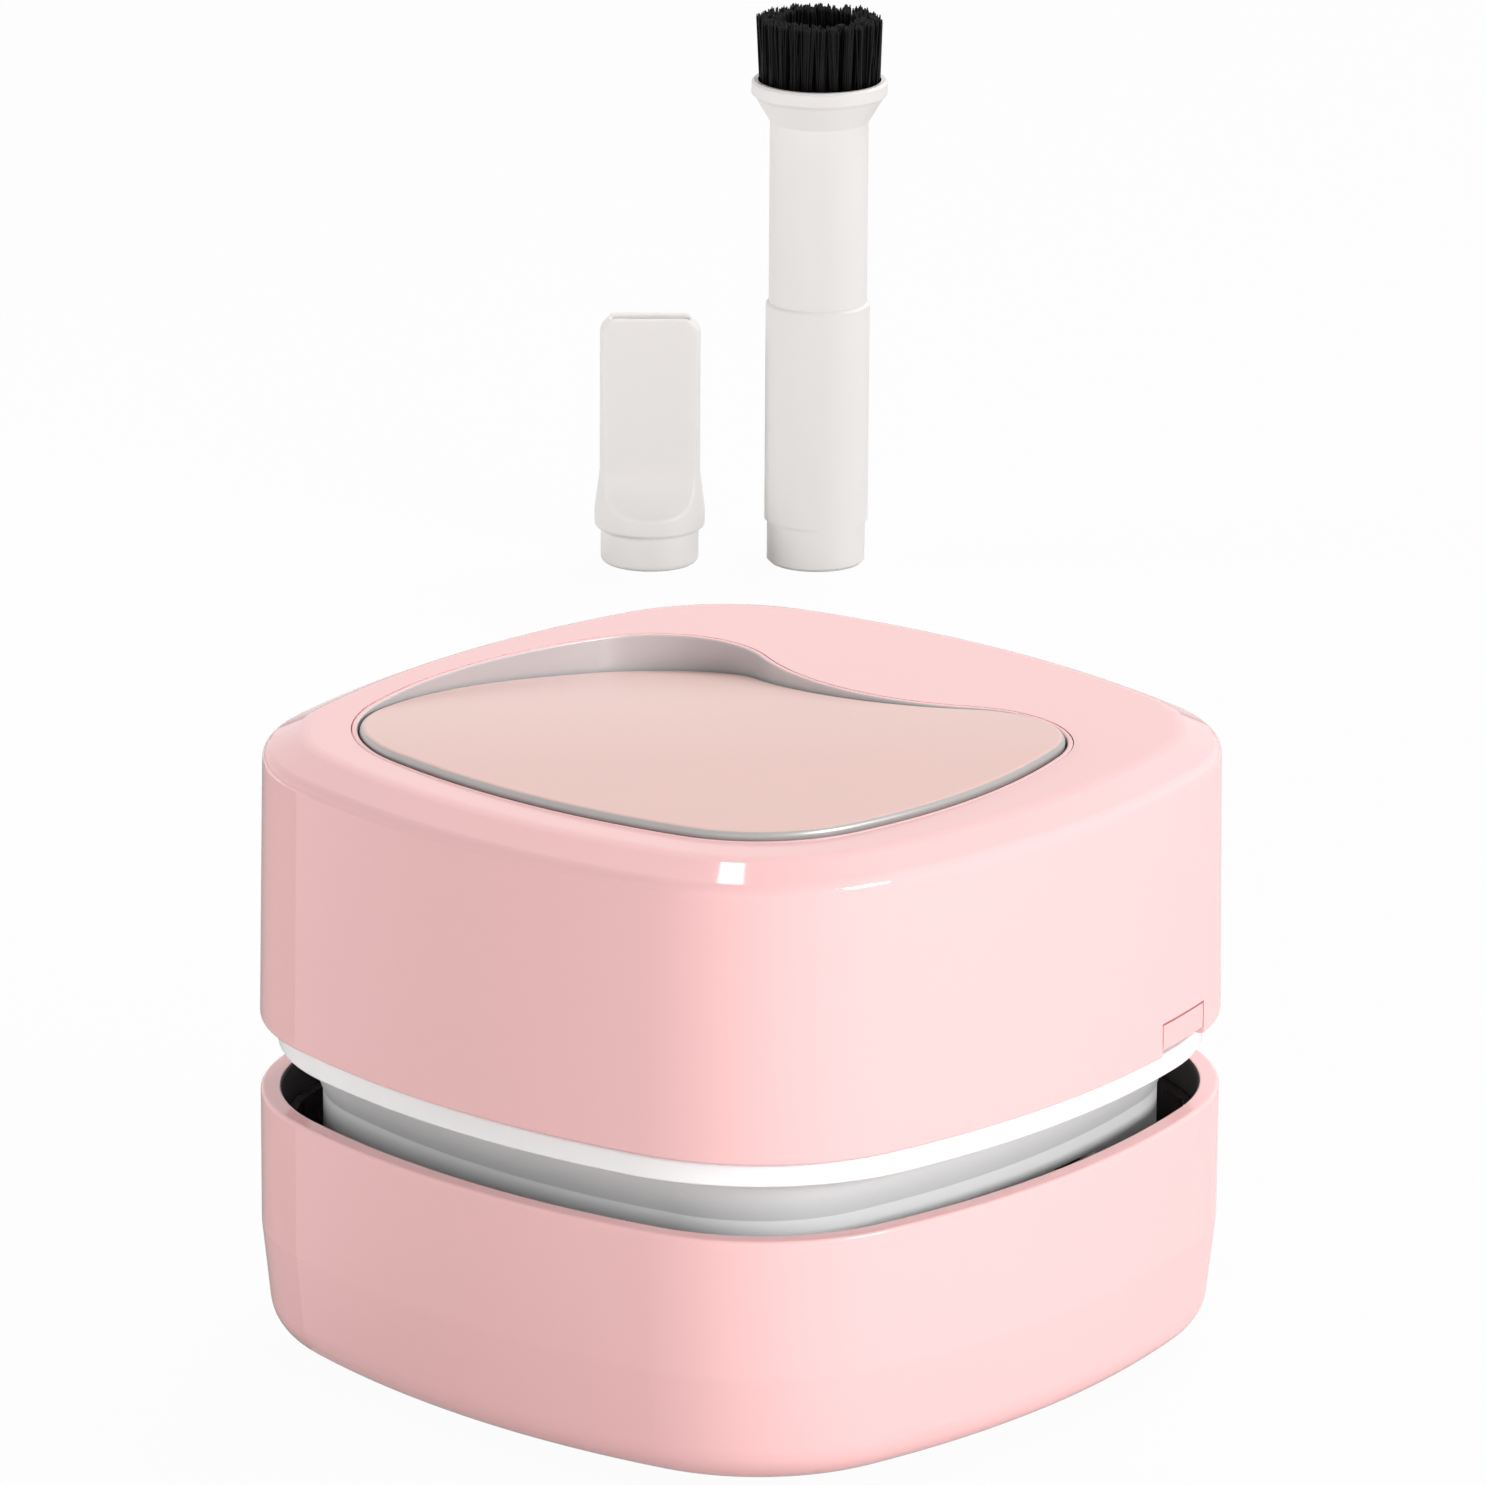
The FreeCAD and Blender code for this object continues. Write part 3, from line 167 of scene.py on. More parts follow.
# ------------------------------------------------------------------ finishes
def pink_polished_abs(colours):
    # Injection-moulded ABS from a mirror-polished mould: deep even colour, sharp highlights that
    # wobble a little, and a gloss that varies by a breath over the large faces.
    pink = colours.pink
    made, tree, shader = surface("pink_polished_abs", pink, roughness=0.065, IOR=1.54)
    uneven_colour(tree, shader, pink, [c * 0.985 for c in pink], patch=18 * MM)
    uneven_gloss(tree, shader, low=0.05, high=0.08, patch=9 * MM)
    skin(tree, shader, wave=2.2 * MM, height=0.0012 * MM)
    return made


def pink_lined_abs(colours):
    # The same pink ABS; the faces that look at the middle are painted matt near black, as painted
    # shade for the dark gap between neck and rim.
    made, tree, shader = surface("pink_lined_abs", colours.pink, roughness=0.065, IOR=1.54)
    looks_in, looks_out = -0.6, -0.4
    place = node(tree, "ShaderNodeTexCoord")
    flat = node(tree, "ShaderNodeVectorMath",
                {0: place.outputs["Object"], 1: (1.0, 1.0, 0.0)}, operation="MULTIPLY")
    outward = node(tree, "ShaderNodeVectorMath", {0: flat.outputs[0]}, operation="NORMALIZE")
    facing = node(tree, "ShaderNodeVectorMath",
                  {0: outward.outputs[0], 1: place.outputs["Normal"]}, operation="DOT_PRODUCT")
    outer = node(tree, "ShaderNodeMapRange",
                 {"Value": facing.outputs["Value"], "From Min": looks_in,
                  "From Max": looks_out})
    # Painted shade: the inward faces take the bin's near black and, below, a matt gloss.
    colour = mixed_colour(tree, outer.outputs["Result"], (*colours.bin, 1.0),
                          (*colours.pink, 1.0))
    tree.links.new(colour, shader.inputs["Base Color"])
    gloss = node(tree, "ShaderNodeMapRange",
                 {"Value": outer.outputs["Result"], "To Min": 0.6, "To Max": 0.065})
    tree.links.new(gloss.outputs["Result"], shader.inputs["Roughness"])
    skin(tree, shader, wave=2.2 * MM, height=0.0012 * MM)
    return made


def pink_port_rubber(colours):
    # Soft-touch TPE in the body's colour: the same pink, but satin, with a fine even grain.
    pink = [c * 0.985 for c in colours.pink]
    made, tree, shader = surface("pink_port_rubber", pink, roughness=0.42, IOR=1.5)
    uneven_colour(tree, shader, pink, [c * 0.97 for c in pink], patch=2 * MM)
    skin(tree, shader, wave=0.12 * MM, height=0.002 * MM)
    return made


def white_polished_abs(colours):
    # Polished white ABS: a clean cool white with a bright narrow highlight.
    white = colours.white
    made, tree, shader = surface("white_polished_abs", white, roughness=0.14, IOR=1.54)
    uneven_colour(tree, shader, white, [c * 0.985 for c in white], patch=12 * MM)
    uneven_gloss(tree, shader, low=0.11, high=0.18, patch=7 * MM)
    skin(tree, shader, wave=1.8 * MM, height=0.001 * MM)
    return made


def warm_white_polypropylene(colours):
    # Moulded polypropylene: a slightly waxy warm white that lets a little light in, half gloss.
    warm = colours.nozzle
    made, tree, shader = surface("warm_white_polypropylene", warm, roughness=0.34, IOR=1.49,
                                 Subsurface_Weight=0.1, Subsurface_Scale=0.8 * MM,
                                 Subsurface_Radius=(1.0, 0.9, 0.8))
    uneven_colour(tree, shader, warm, [c * f for c, f in zip(warm, (0.992, 0.99, 0.987))],
                  patch=6 * MM)
    uneven_gloss(tree, shader, low=0.31, high=0.34, patch=3 * MM)
    skin(tree, shader, wave=0.3 * MM, height=0.0002 * MM)
    return made


def silver_lacquer(colours):
    # Silver lacquer on plastic: fine aluminium flakes under a clear film give a light even grey
    # with a soft sheen.  The flakes are drawn at 0.12 mm, coarser than real ones.
    silver = colours.silver
    made, tree, shader = surface("silver_lacquer", silver, roughness=0.36, Metallic=0.1,
                                 Coat_Weight=0.2, Coat_Roughness=0.1)
    uneven_colour(tree, shader, silver, [c * 0.95 for c in silver], patch=0.12 * MM)
    uneven_gloss(tree, shader, low=0.32, high=0.42, patch=0.12 * MM)
    skin(tree, shader, wave=0.12 * MM, height=0.0006 * MM, detail=1.0)
    return made


def satin_grey_lacquer(colours):
    # Satin lacquer with metal powder on the wall of the moulded trim: an even warm grey.  Its
    # narrow top stays in the pink of the body.
    grey = colours.trim
    made, tree, shader = surface("satin_grey_lacquer", grey, roughness=0.38)
    two_tones(tree, shader, grey, (*colours.pink, 1.0), metal=0.3, low=0.75, high=0.9)
    uneven_gloss(tree, shader, low=0.34, high=0.44, patch=3 * MM)
    skin(tree, shader, wave=0.25 * MM, height=0.0005 * MM)
    return made


def pearl_key_paint(colours):
    # Satin pearl paint over silver lacquer: warm beige with a broad milky gloss on top, and bare
    # silver on the side and its rounded edge, where the paint stops.
    beige, silver = colours.key, colours.key_side
    made, tree, shader = surface("pearl_key_paint", beige, roughness=0.36, IOR=1.5, Coat_Weight=0.2,
                                 Coat_Roughness=0.25, Sheen_Weight=0.15, Sheen_Roughness=0.3)
    place = node(tree, "ShaderNodeTexCoord")
    cloud = node(tree, "ShaderNodeTexNoise",
                 {"Vector": place.outputs["Object"], "Scale": 1 / (6 * MM), "Detail": 3.0})
    darker = [c * f for c, f in zip(beige, (0.98, 0.985, 0.99))]
    paint = mixed_colour(tree, cloud.outputs["Fac"], (*beige, 1.0), (*darker, 1.0))
    two_tones(tree, shader, silver, paint, metal=0.6, low=0.8, high=0.93)
    uneven_gloss(tree, shader, low=0.32, high=0.4, patch=0.2 * MM)
    skin(tree, shader, wave=0.15 * MM, height=0.0008 * MM)
    return made


def smoked_black_abs(colours):
    # Dark smoked ABS of the bin: nearly black, glossy outside, dulled by fine scuffs.
    made, tree, shader = surface("smoked_black_abs", colours.bin, roughness=0.3, IOR=1.54)
    uneven_colour(tree, shader, colours.bin, [c * 1.5 for c in colours.bin], patch=5 * MM)
    uneven_gloss(tree, shader, low=0.22, high=0.45, patch=2.5 * MM)
    skin(tree, shader, wave=0.6 * MM, height=0.001 * MM)
    return made


def grained_black_nylon(colours):
    # Glass-filled nylon from a spark-eroded mould: dark grey with an even dull grain.
    dark = colours.inner
    made, tree, shader = surface("grained_black_nylon", dark, roughness=0.55, IOR=1.53)
    uneven_colour(tree, shader, dark, [c * 1.35 for c in dark], patch=1.5 * MM)
    uneven_gloss(tree, shader, low=0.45, high=0.65, patch=0.8 * MM)
    skin(tree, shader, wave=0.18 * MM, height=0.006 * MM, detail=4.0)
    return made


def red_acetal(_colours):
    # Moulded acetal of the switch plunger: saturated, slippery half gloss.
    red = linear("#B3221B")
    made, tree, shader = surface("red_acetal", red, roughness=0.3, IOR=1.48)
    uneven_colour(tree, shader, red, [c * 0.85 for c in red], patch=0.8 * MM)
    skin(tree, shader, wave=0.3 * MM, height=0.001 * MM)
    return made


def black_nylon_fibre(colours):
    # Extruded nylon filament: near black, with a faint light line along each fibre.
    black = colours.bristle
    made, tree, shader = surface("black_nylon_fibre", black, roughness=0.5, IOR=1.5,
                                 Specular_IOR_Level=0.2)
    uneven_colour(tree, shader, black, [c * 1.8 for c in black], patch=0.5 * MM)
    uneven_gloss(tree, shader, low=0.42, high=0.6, patch=0.4 * MM)
    return made


def foot_rubber(colours):
    # Moulded nitrile rubber: dark grey and matt, with a faint bloom.
    grey = colours.rubber
    made, tree, shader = surface("foot_rubber", grey, roughness=0.75, IOR=1.52, Sheen_Weight=0.1)
    uneven_colour(tree, shader, grey, [c * 1.4 for c in grey], patch=1.2 * MM)
    uneven_gloss(tree, shader, low=0.65, high=0.85, patch=0.6 * MM)
    skin(tree, shader, wave=0.1 * MM, height=0.004 * MM, detail=4.0)
    return made


def filter_paper(colours):
    # Pressed synthetic filter paper: dry off-white felt of fibres a few tenths of a millimetre
    # apart, with a slight mottle.
    felt = colours.filter
    made, tree, shader = surface("filter_paper", felt, roughness=0.9, Sheen_Weight=0.3,
                                 Sheen_Roughness=0.6)
    uneven_colour(tree, shader, felt, [c * f for c, f in zip(felt, (0.9, 0.89, 0.86))],
                  patch=0.7 * MM)
    skin(tree, shader, wave=0.25 * MM, height=0.03 * MM, detail=6.0)
    return made


def nickel_plated_steel(_colours):
    # Drawn steel with bright nickel plate: warm grey mirror with faint drawing lines.
    made, tree, shader = surface("nickel_plated_steel", linear("#C9C7C2"), roughness=0.22,
                                 Metallic=1.0)
    uneven_gloss(tree, shader, low=0.16, high=0.32, patch=1.5 * MM)
    lines(tree, shader, pitch=0.3 * MM, height=0.0008 * MM)
    return made


def spring_steel(_colours):
    # Cold-drawn wire: darker and streaky.
    made, tree, shader = surface("spring_steel", linear("#9C9A97"), roughness=0.3, Metallic=1.0)
    uneven_gloss(tree, shader, low=0.22, high=0.4, patch=0.3 * MM)
    skin(tree, shader, wave=0.2 * MM, height=0.001 * MM)
    return made


def ferrite(_colours):
    # Pressed and fired ferrite magnet: charcoal, dry, with small pits.
    made, tree, shader = surface("ferrite", linear("#3B3938"), roughness=0.7, IOR=2.0)
    uneven_colour(tree, shader, linear("#343231"), linear("#4A4744"), patch=1.0 * MM)
    skin(tree, shader, wave=0.3 * MM, height=0.01 * MM, detail=5.0)
    return made


def stacked_iron(_colours):
    # Punched electrical steel in 0.5 mm sheets under clear varnish.
    made, tree, shader = surface("stacked_iron", linear("#6B655F"), roughness=0.4, Metallic=1.0,
                                 Coat_Weight=0.4, Coat_Roughness=0.2)
    uneven_gloss(tree, shader, low=0.32, high=0.5, patch=1.0 * MM)
    lines(tree, shader, pitch=0.5 * MM, height=0.02 * MM)
    return made


def sintered_bronze(_colours):
    # Oil-filled bronze: brown gold, dull and porous.
    made, tree, shader = surface("sintered_bronze", linear("#B98B4E"), roughness=0.42, Metallic=1.0)
    uneven_gloss(tree, shader, low=0.35, high=0.55, patch=0.4 * MM)
    skin(tree, shader, wave=0.1 * MM, height=0.003 * MM, detail=4.0)
    return made


def solder_mask(_colours):
    # Glass-epoxy board under green solder mask: glossy film over a faint cloth weave.
    green = linear("#12633A")
    made, tree, shader = surface("solder_mask", green, roughness=0.25, IOR=1.55, Coat_Weight=0.5,
                                 Coat_Roughness=0.1)
    uneven_colour(tree, shader, green, linear("#0E5230"), patch=1.2 * MM)
    lines(tree, shader, pitch=0.4 * MM, height=0.002 * MM, direction="X")
    return made


def shrink_sleeve(_colours):
    # PVC shrink film over the cell's steel can: a tight blue skin with soft long ripples.
    blue = linear("#2F6FA8")
    made, tree, shader = surface("shrink_sleeve", blue, roughness=0.22, IOR=1.53, Coat_Weight=0.4,
                                 Coat_Roughness=0.08)
    uneven_colour(tree, shader, blue, linear("#2A6398"), patch=4 * MM)
    skin(tree, shader, wave=3 * MM, height=0.02 * MM, detail=1.0)
    return made


FINISHES = {
    pink_polished_abs: ["top_shell"],
    pink_lined_abs: ["lower_shell"],
    pink_port_rubber: ["port_cover"],
    white_polished_abs: ["chassis"],
    warm_white_polypropylene: ["flat_nozzle", "brush_sleeve", "brush_tube", "brush_collar"],
    silver_lacquer: ["neck"],
    satin_grey_lacquer: ["key_bezel"],
    pearl_key_paint: ["power_key"],
    smoked_black_abs: ["dust_bin"],
    grained_black_nylon: ["brush_ring_holder", "inlet_tube", "filter_frame", "fan_plate",
                          "impeller", "motor_holder", "motor_cap", "battery_tray", "push_switch",
                          "charge_chip"],
    red_acetal: ["switch_plunger"],
    black_nylon_fibre: ["brush_ring_bristles", "brush_bristles"],
    foot_rubber: ["foot_front", "foot_right", "foot_back", "foot_left", "seal_ring"],
    filter_paper: ["filter_mesh"],
    nickel_plated_steel: ["chassis_screw_front", "chassis_screw_right", "chassis_screw_back",
                          "chassis_screw_left", "motor_can", "rotor_shaft", "usb_socket"],
    spring_steel: ["key_spring"],
    ferrite: ["motor_magnet"],
    stacked_iron: ["rotor_core"],
    sintered_bronze: ["motor_bearing", "motor_terminals", "battery_contact_plus",
                      "battery_contact_minus"],
    solder_mask: ["circuit_board"],
    shrink_sleeve: ["battery_cell"],
}


# ------------------------------------------------------------------ mesh helpers
def clear_selection():
    if bpy.context.object and bpy.context.object.mode != "OBJECT":
        bpy.ops.object.mode_set(mode="OBJECT")
    bpy.ops.object.select_all(action="DESELECT")


def settle(piece, body, finish, replaced=()):
    """Put the piece's place in its mesh, give it its finish and let it ride on its body."""
    clear_selection()
    piece.select_set(True)
    bpy.context.view_layer.objects.active = piece
    bpy.ops.object.transform_apply(location=True, rotation=True, scale=True)
    piece.data.materials.clear()
    piece.data.materials.append(bpy.data.materials[finish])
    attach(piece, body)
    if replaced:
        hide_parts(*replaced)
    clear_selection()
    return piece


def copy_of(node_name, name):
    """A free copy of a CAD node, with its own mesh and the node's finish."""
    clear_selection()
    piece = NODES[node_name].copy()
    piece.data = NODES[node_name].data.copy()
    piece.name = name
    piece.parent = None
    bpy.context.scene.collection.objects.link(piece)
    return piece


def select_where(piece, test):
    """Select the points of a mesh whose place passes the test, and nothing else."""
    bpy.ops.object.mode_set(mode="EDIT")
    bpy.ops.mesh.select_mode(type="VERT")
    bpy.ops.mesh.select_all(action="DESELECT")
    bpy.ops.object.mode_set(mode="OBJECT")
    for point in piece.data.vertices:
        point.select = test(point.co)
    bpy.ops.object.mode_set(mode="EDIT")


def one_fibre(width, length):
    """One bristle, standing on z 0: five sides and a rounded tip."""
    sides, rings, tip, tip_width = 5, (0.4, 0.8, 0.95), 0.97, 0.5
    clear_selection()
    bpy.ops.mesh.primitive_cylinder_add(vertices=sides, radius=width / 2, depth=length,
                                        end_fill_type="TRIFAN", location=(0, 0, length / 2))
    piece = bpy.context.object
    bpy.ops.object.transform_apply(location=True)
    bpy.ops.object.mode_set(mode="EDIT")
    for share in rings:
        bpy.ops.mesh.select_all(action="SELECT")
        bpy.ops.mesh.bisect(plane_co=(0, 0, length * share), plane_no=(0, 0, 1))
    bpy.ops.object.mode_set(mode="OBJECT")
    select_where(piece, lambda place: place.z > length * tip)
    bpy.ops.transform.resize(value=(tip_width, tip_width, 1), center_override=(0, 0, length))
    bpy.ops.object.mode_set(mode="OBJECT")
    bpy.ops.object.shade_smooth()
    return piece


def plant(name, fibre, spots):
    """Copy the fibre to every spot and join the copies into one piece."""
    clear_selection()
    for spot in spots:
        copy = fibre.copy()
        copy.data = fibre.data.copy()
        copy.matrix_world = spot
        bpy.context.scene.collection.objects.link(copy)
        copy.select_set(True)
    bpy.context.view_layer.objects.active = copy
    bpy.ops.object.join()
    piece = bpy.context.object
    piece.name = name
    bpy.data.objects.remove(fibre)
    return piece


def tuft_spots(root, rings, tuft_radius, fibres, seed, lean, shorter):
    """Matrices for the fibres of round tufts that stand in rings about the root's Z axis.

    lean is in radians.  shorter is the share of its length that a fibre may lose, on top of up to
    half as much that its whole tuft loses.
    """
    draw = random.Random(seed)
    golden_turn = math.radians(137.5)
    spots = []
    for ring, count in rings:
        for number in range(count):
            around = math.tau * number / count
            tuft = Matrix.Translation((ring * math.cos(around), ring * math.sin(around), 0))
            tuft_turn = draw.uniform(0, math.tau)
            tuft_lean = Euler((draw.gauss(0, lean), draw.gauss(0, lean), 0)).to_matrix().to_4x4()
            tuft_cut = draw.uniform(0, shorter / 2)
            for fibre in range(fibres):
                reach = tuft_radius * math.sqrt((fibre + 0.5) / fibres)
                turn = tuft_turn + fibre * golden_turn
                spot = Matrix.Translation((reach * math.cos(turn), reach * math.sin(turn), 0))
                tilt = Euler((draw.gauss(0, lean), draw.gauss(0, lean),
                              draw.uniform(0, math.tau))).to_matrix().to_4x4()
                tall = Matrix.Diagonal((1, 1, 1 - tuft_cut - draw.uniform(0, shorter), 1))
                spots.append(root @ tuft @ tuft_lean @ spot @ tilt @ tall)
    return spots


# ------------------------------------------------------------------ sizes and colours to change
class VacuumColours(bpy.types.PropertyGroup):
    pink: bpy.props.FloatVectorProperty(
        name="Body", description="Moulded colour of both halves of the body",
        subtype="COLOR", size=3, min=0, max=1, default=linear("#FBC6C6"))
    white: bpy.props.FloatVectorProperty(
        name="Ring", description="White of the ring between head and neck",
        subtype="COLOR", size=3, min=0, max=1, default=linear("#FBFBFB"))
    nozzle: bpy.props.FloatVectorProperty(
        name="Nozzles", description="Warm white of the two loose nozzles",
        subtype="COLOR", size=3, min=0, max=1, default=linear("#E5E2E0"))
    silver: bpy.props.FloatVectorProperty(
        name="Neck", description="Silver lacquer of the neck",
        subtype="COLOR", size=3, min=0, max=1, default=linear("#EFF0F0"))
    trim: bpy.props.FloatVectorProperty(
        name="Trim", description="Grey lacquer of the trim round the key",
        subtype="COLOR", size=3, min=0, max=1, default=linear("#C3C0C1"))
    key_side: bpy.props.FloatVectorProperty(
        name="Key's side", description="Silver lacquer on the side of the key",
        subtype="COLOR", size=3, min=0, max=1, default=linear("#B0B0AE"))
    key: bpy.props.FloatVectorProperty(
        name="Key", description="Pearl paint of the power key",
        subtype="COLOR", size=3, min=0, max=1, default=linear("#E1B7AE"))
    bin: bpy.props.FloatVectorProperty(
        name="Bin", description="Smoked plastic of the dust bin",
        subtype="COLOR", size=3, min=0, max=1, default=linear("#1D1616"))
    inner: bpy.props.FloatVectorProperty(
        name="Inner parts", description="Filled nylon of the parts inside",
        subtype="COLOR", size=3, min=0, max=1, default=linear("#2A2A2C"))
    bristle: bpy.props.FloatVectorProperty(
        name="Bristles", description="Nylon fibre of both brushes",
        subtype="COLOR", size=3, min=0, max=1, default=linear("#0B0A0A"))
    rubber: bpy.props.FloatVectorProperty(
        name="Rubber", description="Feet and seal",
        subtype="COLOR", size=3, min=0, max=1, default=linear("#333333"))
    filter: bpy.props.FloatVectorProperty(
        name="Filter", description="Filter paper",
        subtype="COLOR", size=3, min=0, max=1, default=linear("#E9E6DF"))


class VacuumSizes(bpy.types.PropertyGroup):
    fibre: bpy.props.FloatProperty(
        name="Brush fibre", description="Thickness of a fibre of the loose brush",
        unit="LENGTH", default=0.26 * MM)
    fibres: bpy.props.IntProperty(
        name="Fibres in a tuft", description="Fibres in each tuft of the loose brush",
        default=24, min=1)
    floor_fibre: bpy.props.FloatProperty(
        name="Floor fibre", description="Thickness of a fibre of the brush ring underneath",
        unit="LENGTH", default=0.2 * MM)
    floor_fibres: bpy.props.IntProperty(
        name="Fibres in a floor tuft", description="Fibres in each tuft underneath",
        default=12, min=1)
    soft_grid: bpy.props.FloatProperty(
        name="Nozzle grid", description="Mesh size of the flat nozzle, which sets its soft edges",
        unit="LENGTH", default=0.26 * MM)
    soft_passes: bpy.props.IntProperty(
        name="Nozzle softening", description="Times that the flat nozzle's mesh is smoothed",
        default=6, min=0)


# ------------------------------------------------------------------ operators, one for each group
class VACUUM_OT_finishes(bpy.types.Operator):
    """Give every part of the frame its finish"""
    bl_idname = "vacuum.finishes"
    bl_label = "Finishes"

    def execute(self, context):
        for make, names in FINISHES.items():
            finish = make(context.scene.vacuum_colours)
            for name in names:
                NODES[name].data.materials.clear()
                NODES[name].data.materials.append(finish)
        return {"FINISHED"}


class VACUUM_OT_brush_fibres(bpy.types.Operator):
    """Grow the bristles of the loose brush, fibre by fibre"""
    bl_idname = "vacuum.brush_fibres"
    bl_label = "Brush fibres"

    def execute(self, context):
        sizes = context.scene.vacuum_sizes
        low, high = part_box("brush_bristles")
        root = Matrix.Translation(((low.x + high.x) / 2, (low.y + high.y) / 2, low.z))
        tuft_radius, tuft_gap = 0.7 * MM, 0.2 * MM
        outer_tufts, inner_tufts = 26, 20
        outer = (high.x - low.x) / 2 - tuft_radius
        inner = outer - 2 * tuft_radius - tuft_gap
        spots = tuft_spots(root, [(outer, outer_tufts), (inner, inner_tufts)],
                           tuft_radius - sizes.fibre / 2, sizes.fibres,
                           seed=7, lean=0.026, shorter=0.045)
        piece = plant("brush_fibres", one_fibre(sizes.fibre, high.z - low.z), spots)
        settle(piece, "brush_head", "black_nylon_fibre", ["brush_bristles"])
        return {"FINISHED"}


class VACUUM_OT_floor_fibres(bpy.types.Operator):
    """Grow the short bristles of the ring under the base"""
    bl_idname = "vacuum.floor_fibres"
    bl_label = "Floor fibres"

    def execute(self, context):
        sizes = context.scene.vacuum_sizes
        low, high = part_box("brush_ring_bristles")
        tuft_radius, tufts = 0.5 * MM, 40
        ring = (high.x - low.x) / 2 - tuft_radius
        root = Matrix.Translation((0, 0, high.z)) @ Matrix.Rotation(math.pi, 4, "X")
        spots = tuft_spots(root, [(ring, tufts)], tuft_radius - sizes.floor_fibre / 2,
                           sizes.floor_fibres, seed=11, lean=0.02, shorter=0.1)
        piece = plant("floor_fibres", one_fibre(sizes.floor_fibre, high.z - low.z), spots)
        settle(piece, "base", "black_nylon_fibre", ["brush_ring_bristles"])
        return {"FINISHED"}


class VACUUM_OT_soft_nozzle(bpy.types.Operator):
    """Soften the flat nozzle, which comes from its mould with no sharp edge"""
    bl_idname = "vacuum.soft_nozzle"
    bl_label = "Flat nozzle"

    def execute(self, context):
        sizes = context.scene.vacuum_sizes
        piece = copy_of("flat_nozzle", "soft_flat_nozzle")
        piece.select_set(True)
        context.view_layer.objects.active = piece
        bpy.ops.object.mode_set(mode="EDIT")
        bpy.ops.mesh.select_all(action="SELECT")
        same_place = 0.001 * MM
        bpy.ops.mesh.remove_doubles(threshold=same_place)
        bpy.ops.object.mode_set(mode="OBJECT")
        grid = piece.modifiers.new("grid", "REMESH")
        grid.mode = "VOXEL"
        grid.voxel_size = sizes.soft_grid
        grid.use_smooth_shade = True
        bpy.ops.object.modifier_apply(modifier=grid.name)
        ease = piece.modifiers.new("ease", "SMOOTH")
        ease.factor = 0.5
        ease.iterations = sizes.soft_passes
        bpy.ops.object.modifier_apply(modifier=ease.name)
        settle(piece, "flat_tool", "warm_white_polypropylene", ["flat_nozzle"])
        return {"FINISHED"}


class VACUUM_OT_soft_spring(bpy.types.Operator):
    """Put a free copy of the key's spring in place of the frame's one, its place baked into its
    mesh
    """
    bl_idname = "vacuum.soft_spring"
    bl_label = "Key spring"

    def execute(self, context):
        piece = copy_of("key_spring", "soft_key_spring")
        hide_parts("key_spring")
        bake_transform(piece)
        return {"FINISHED"}


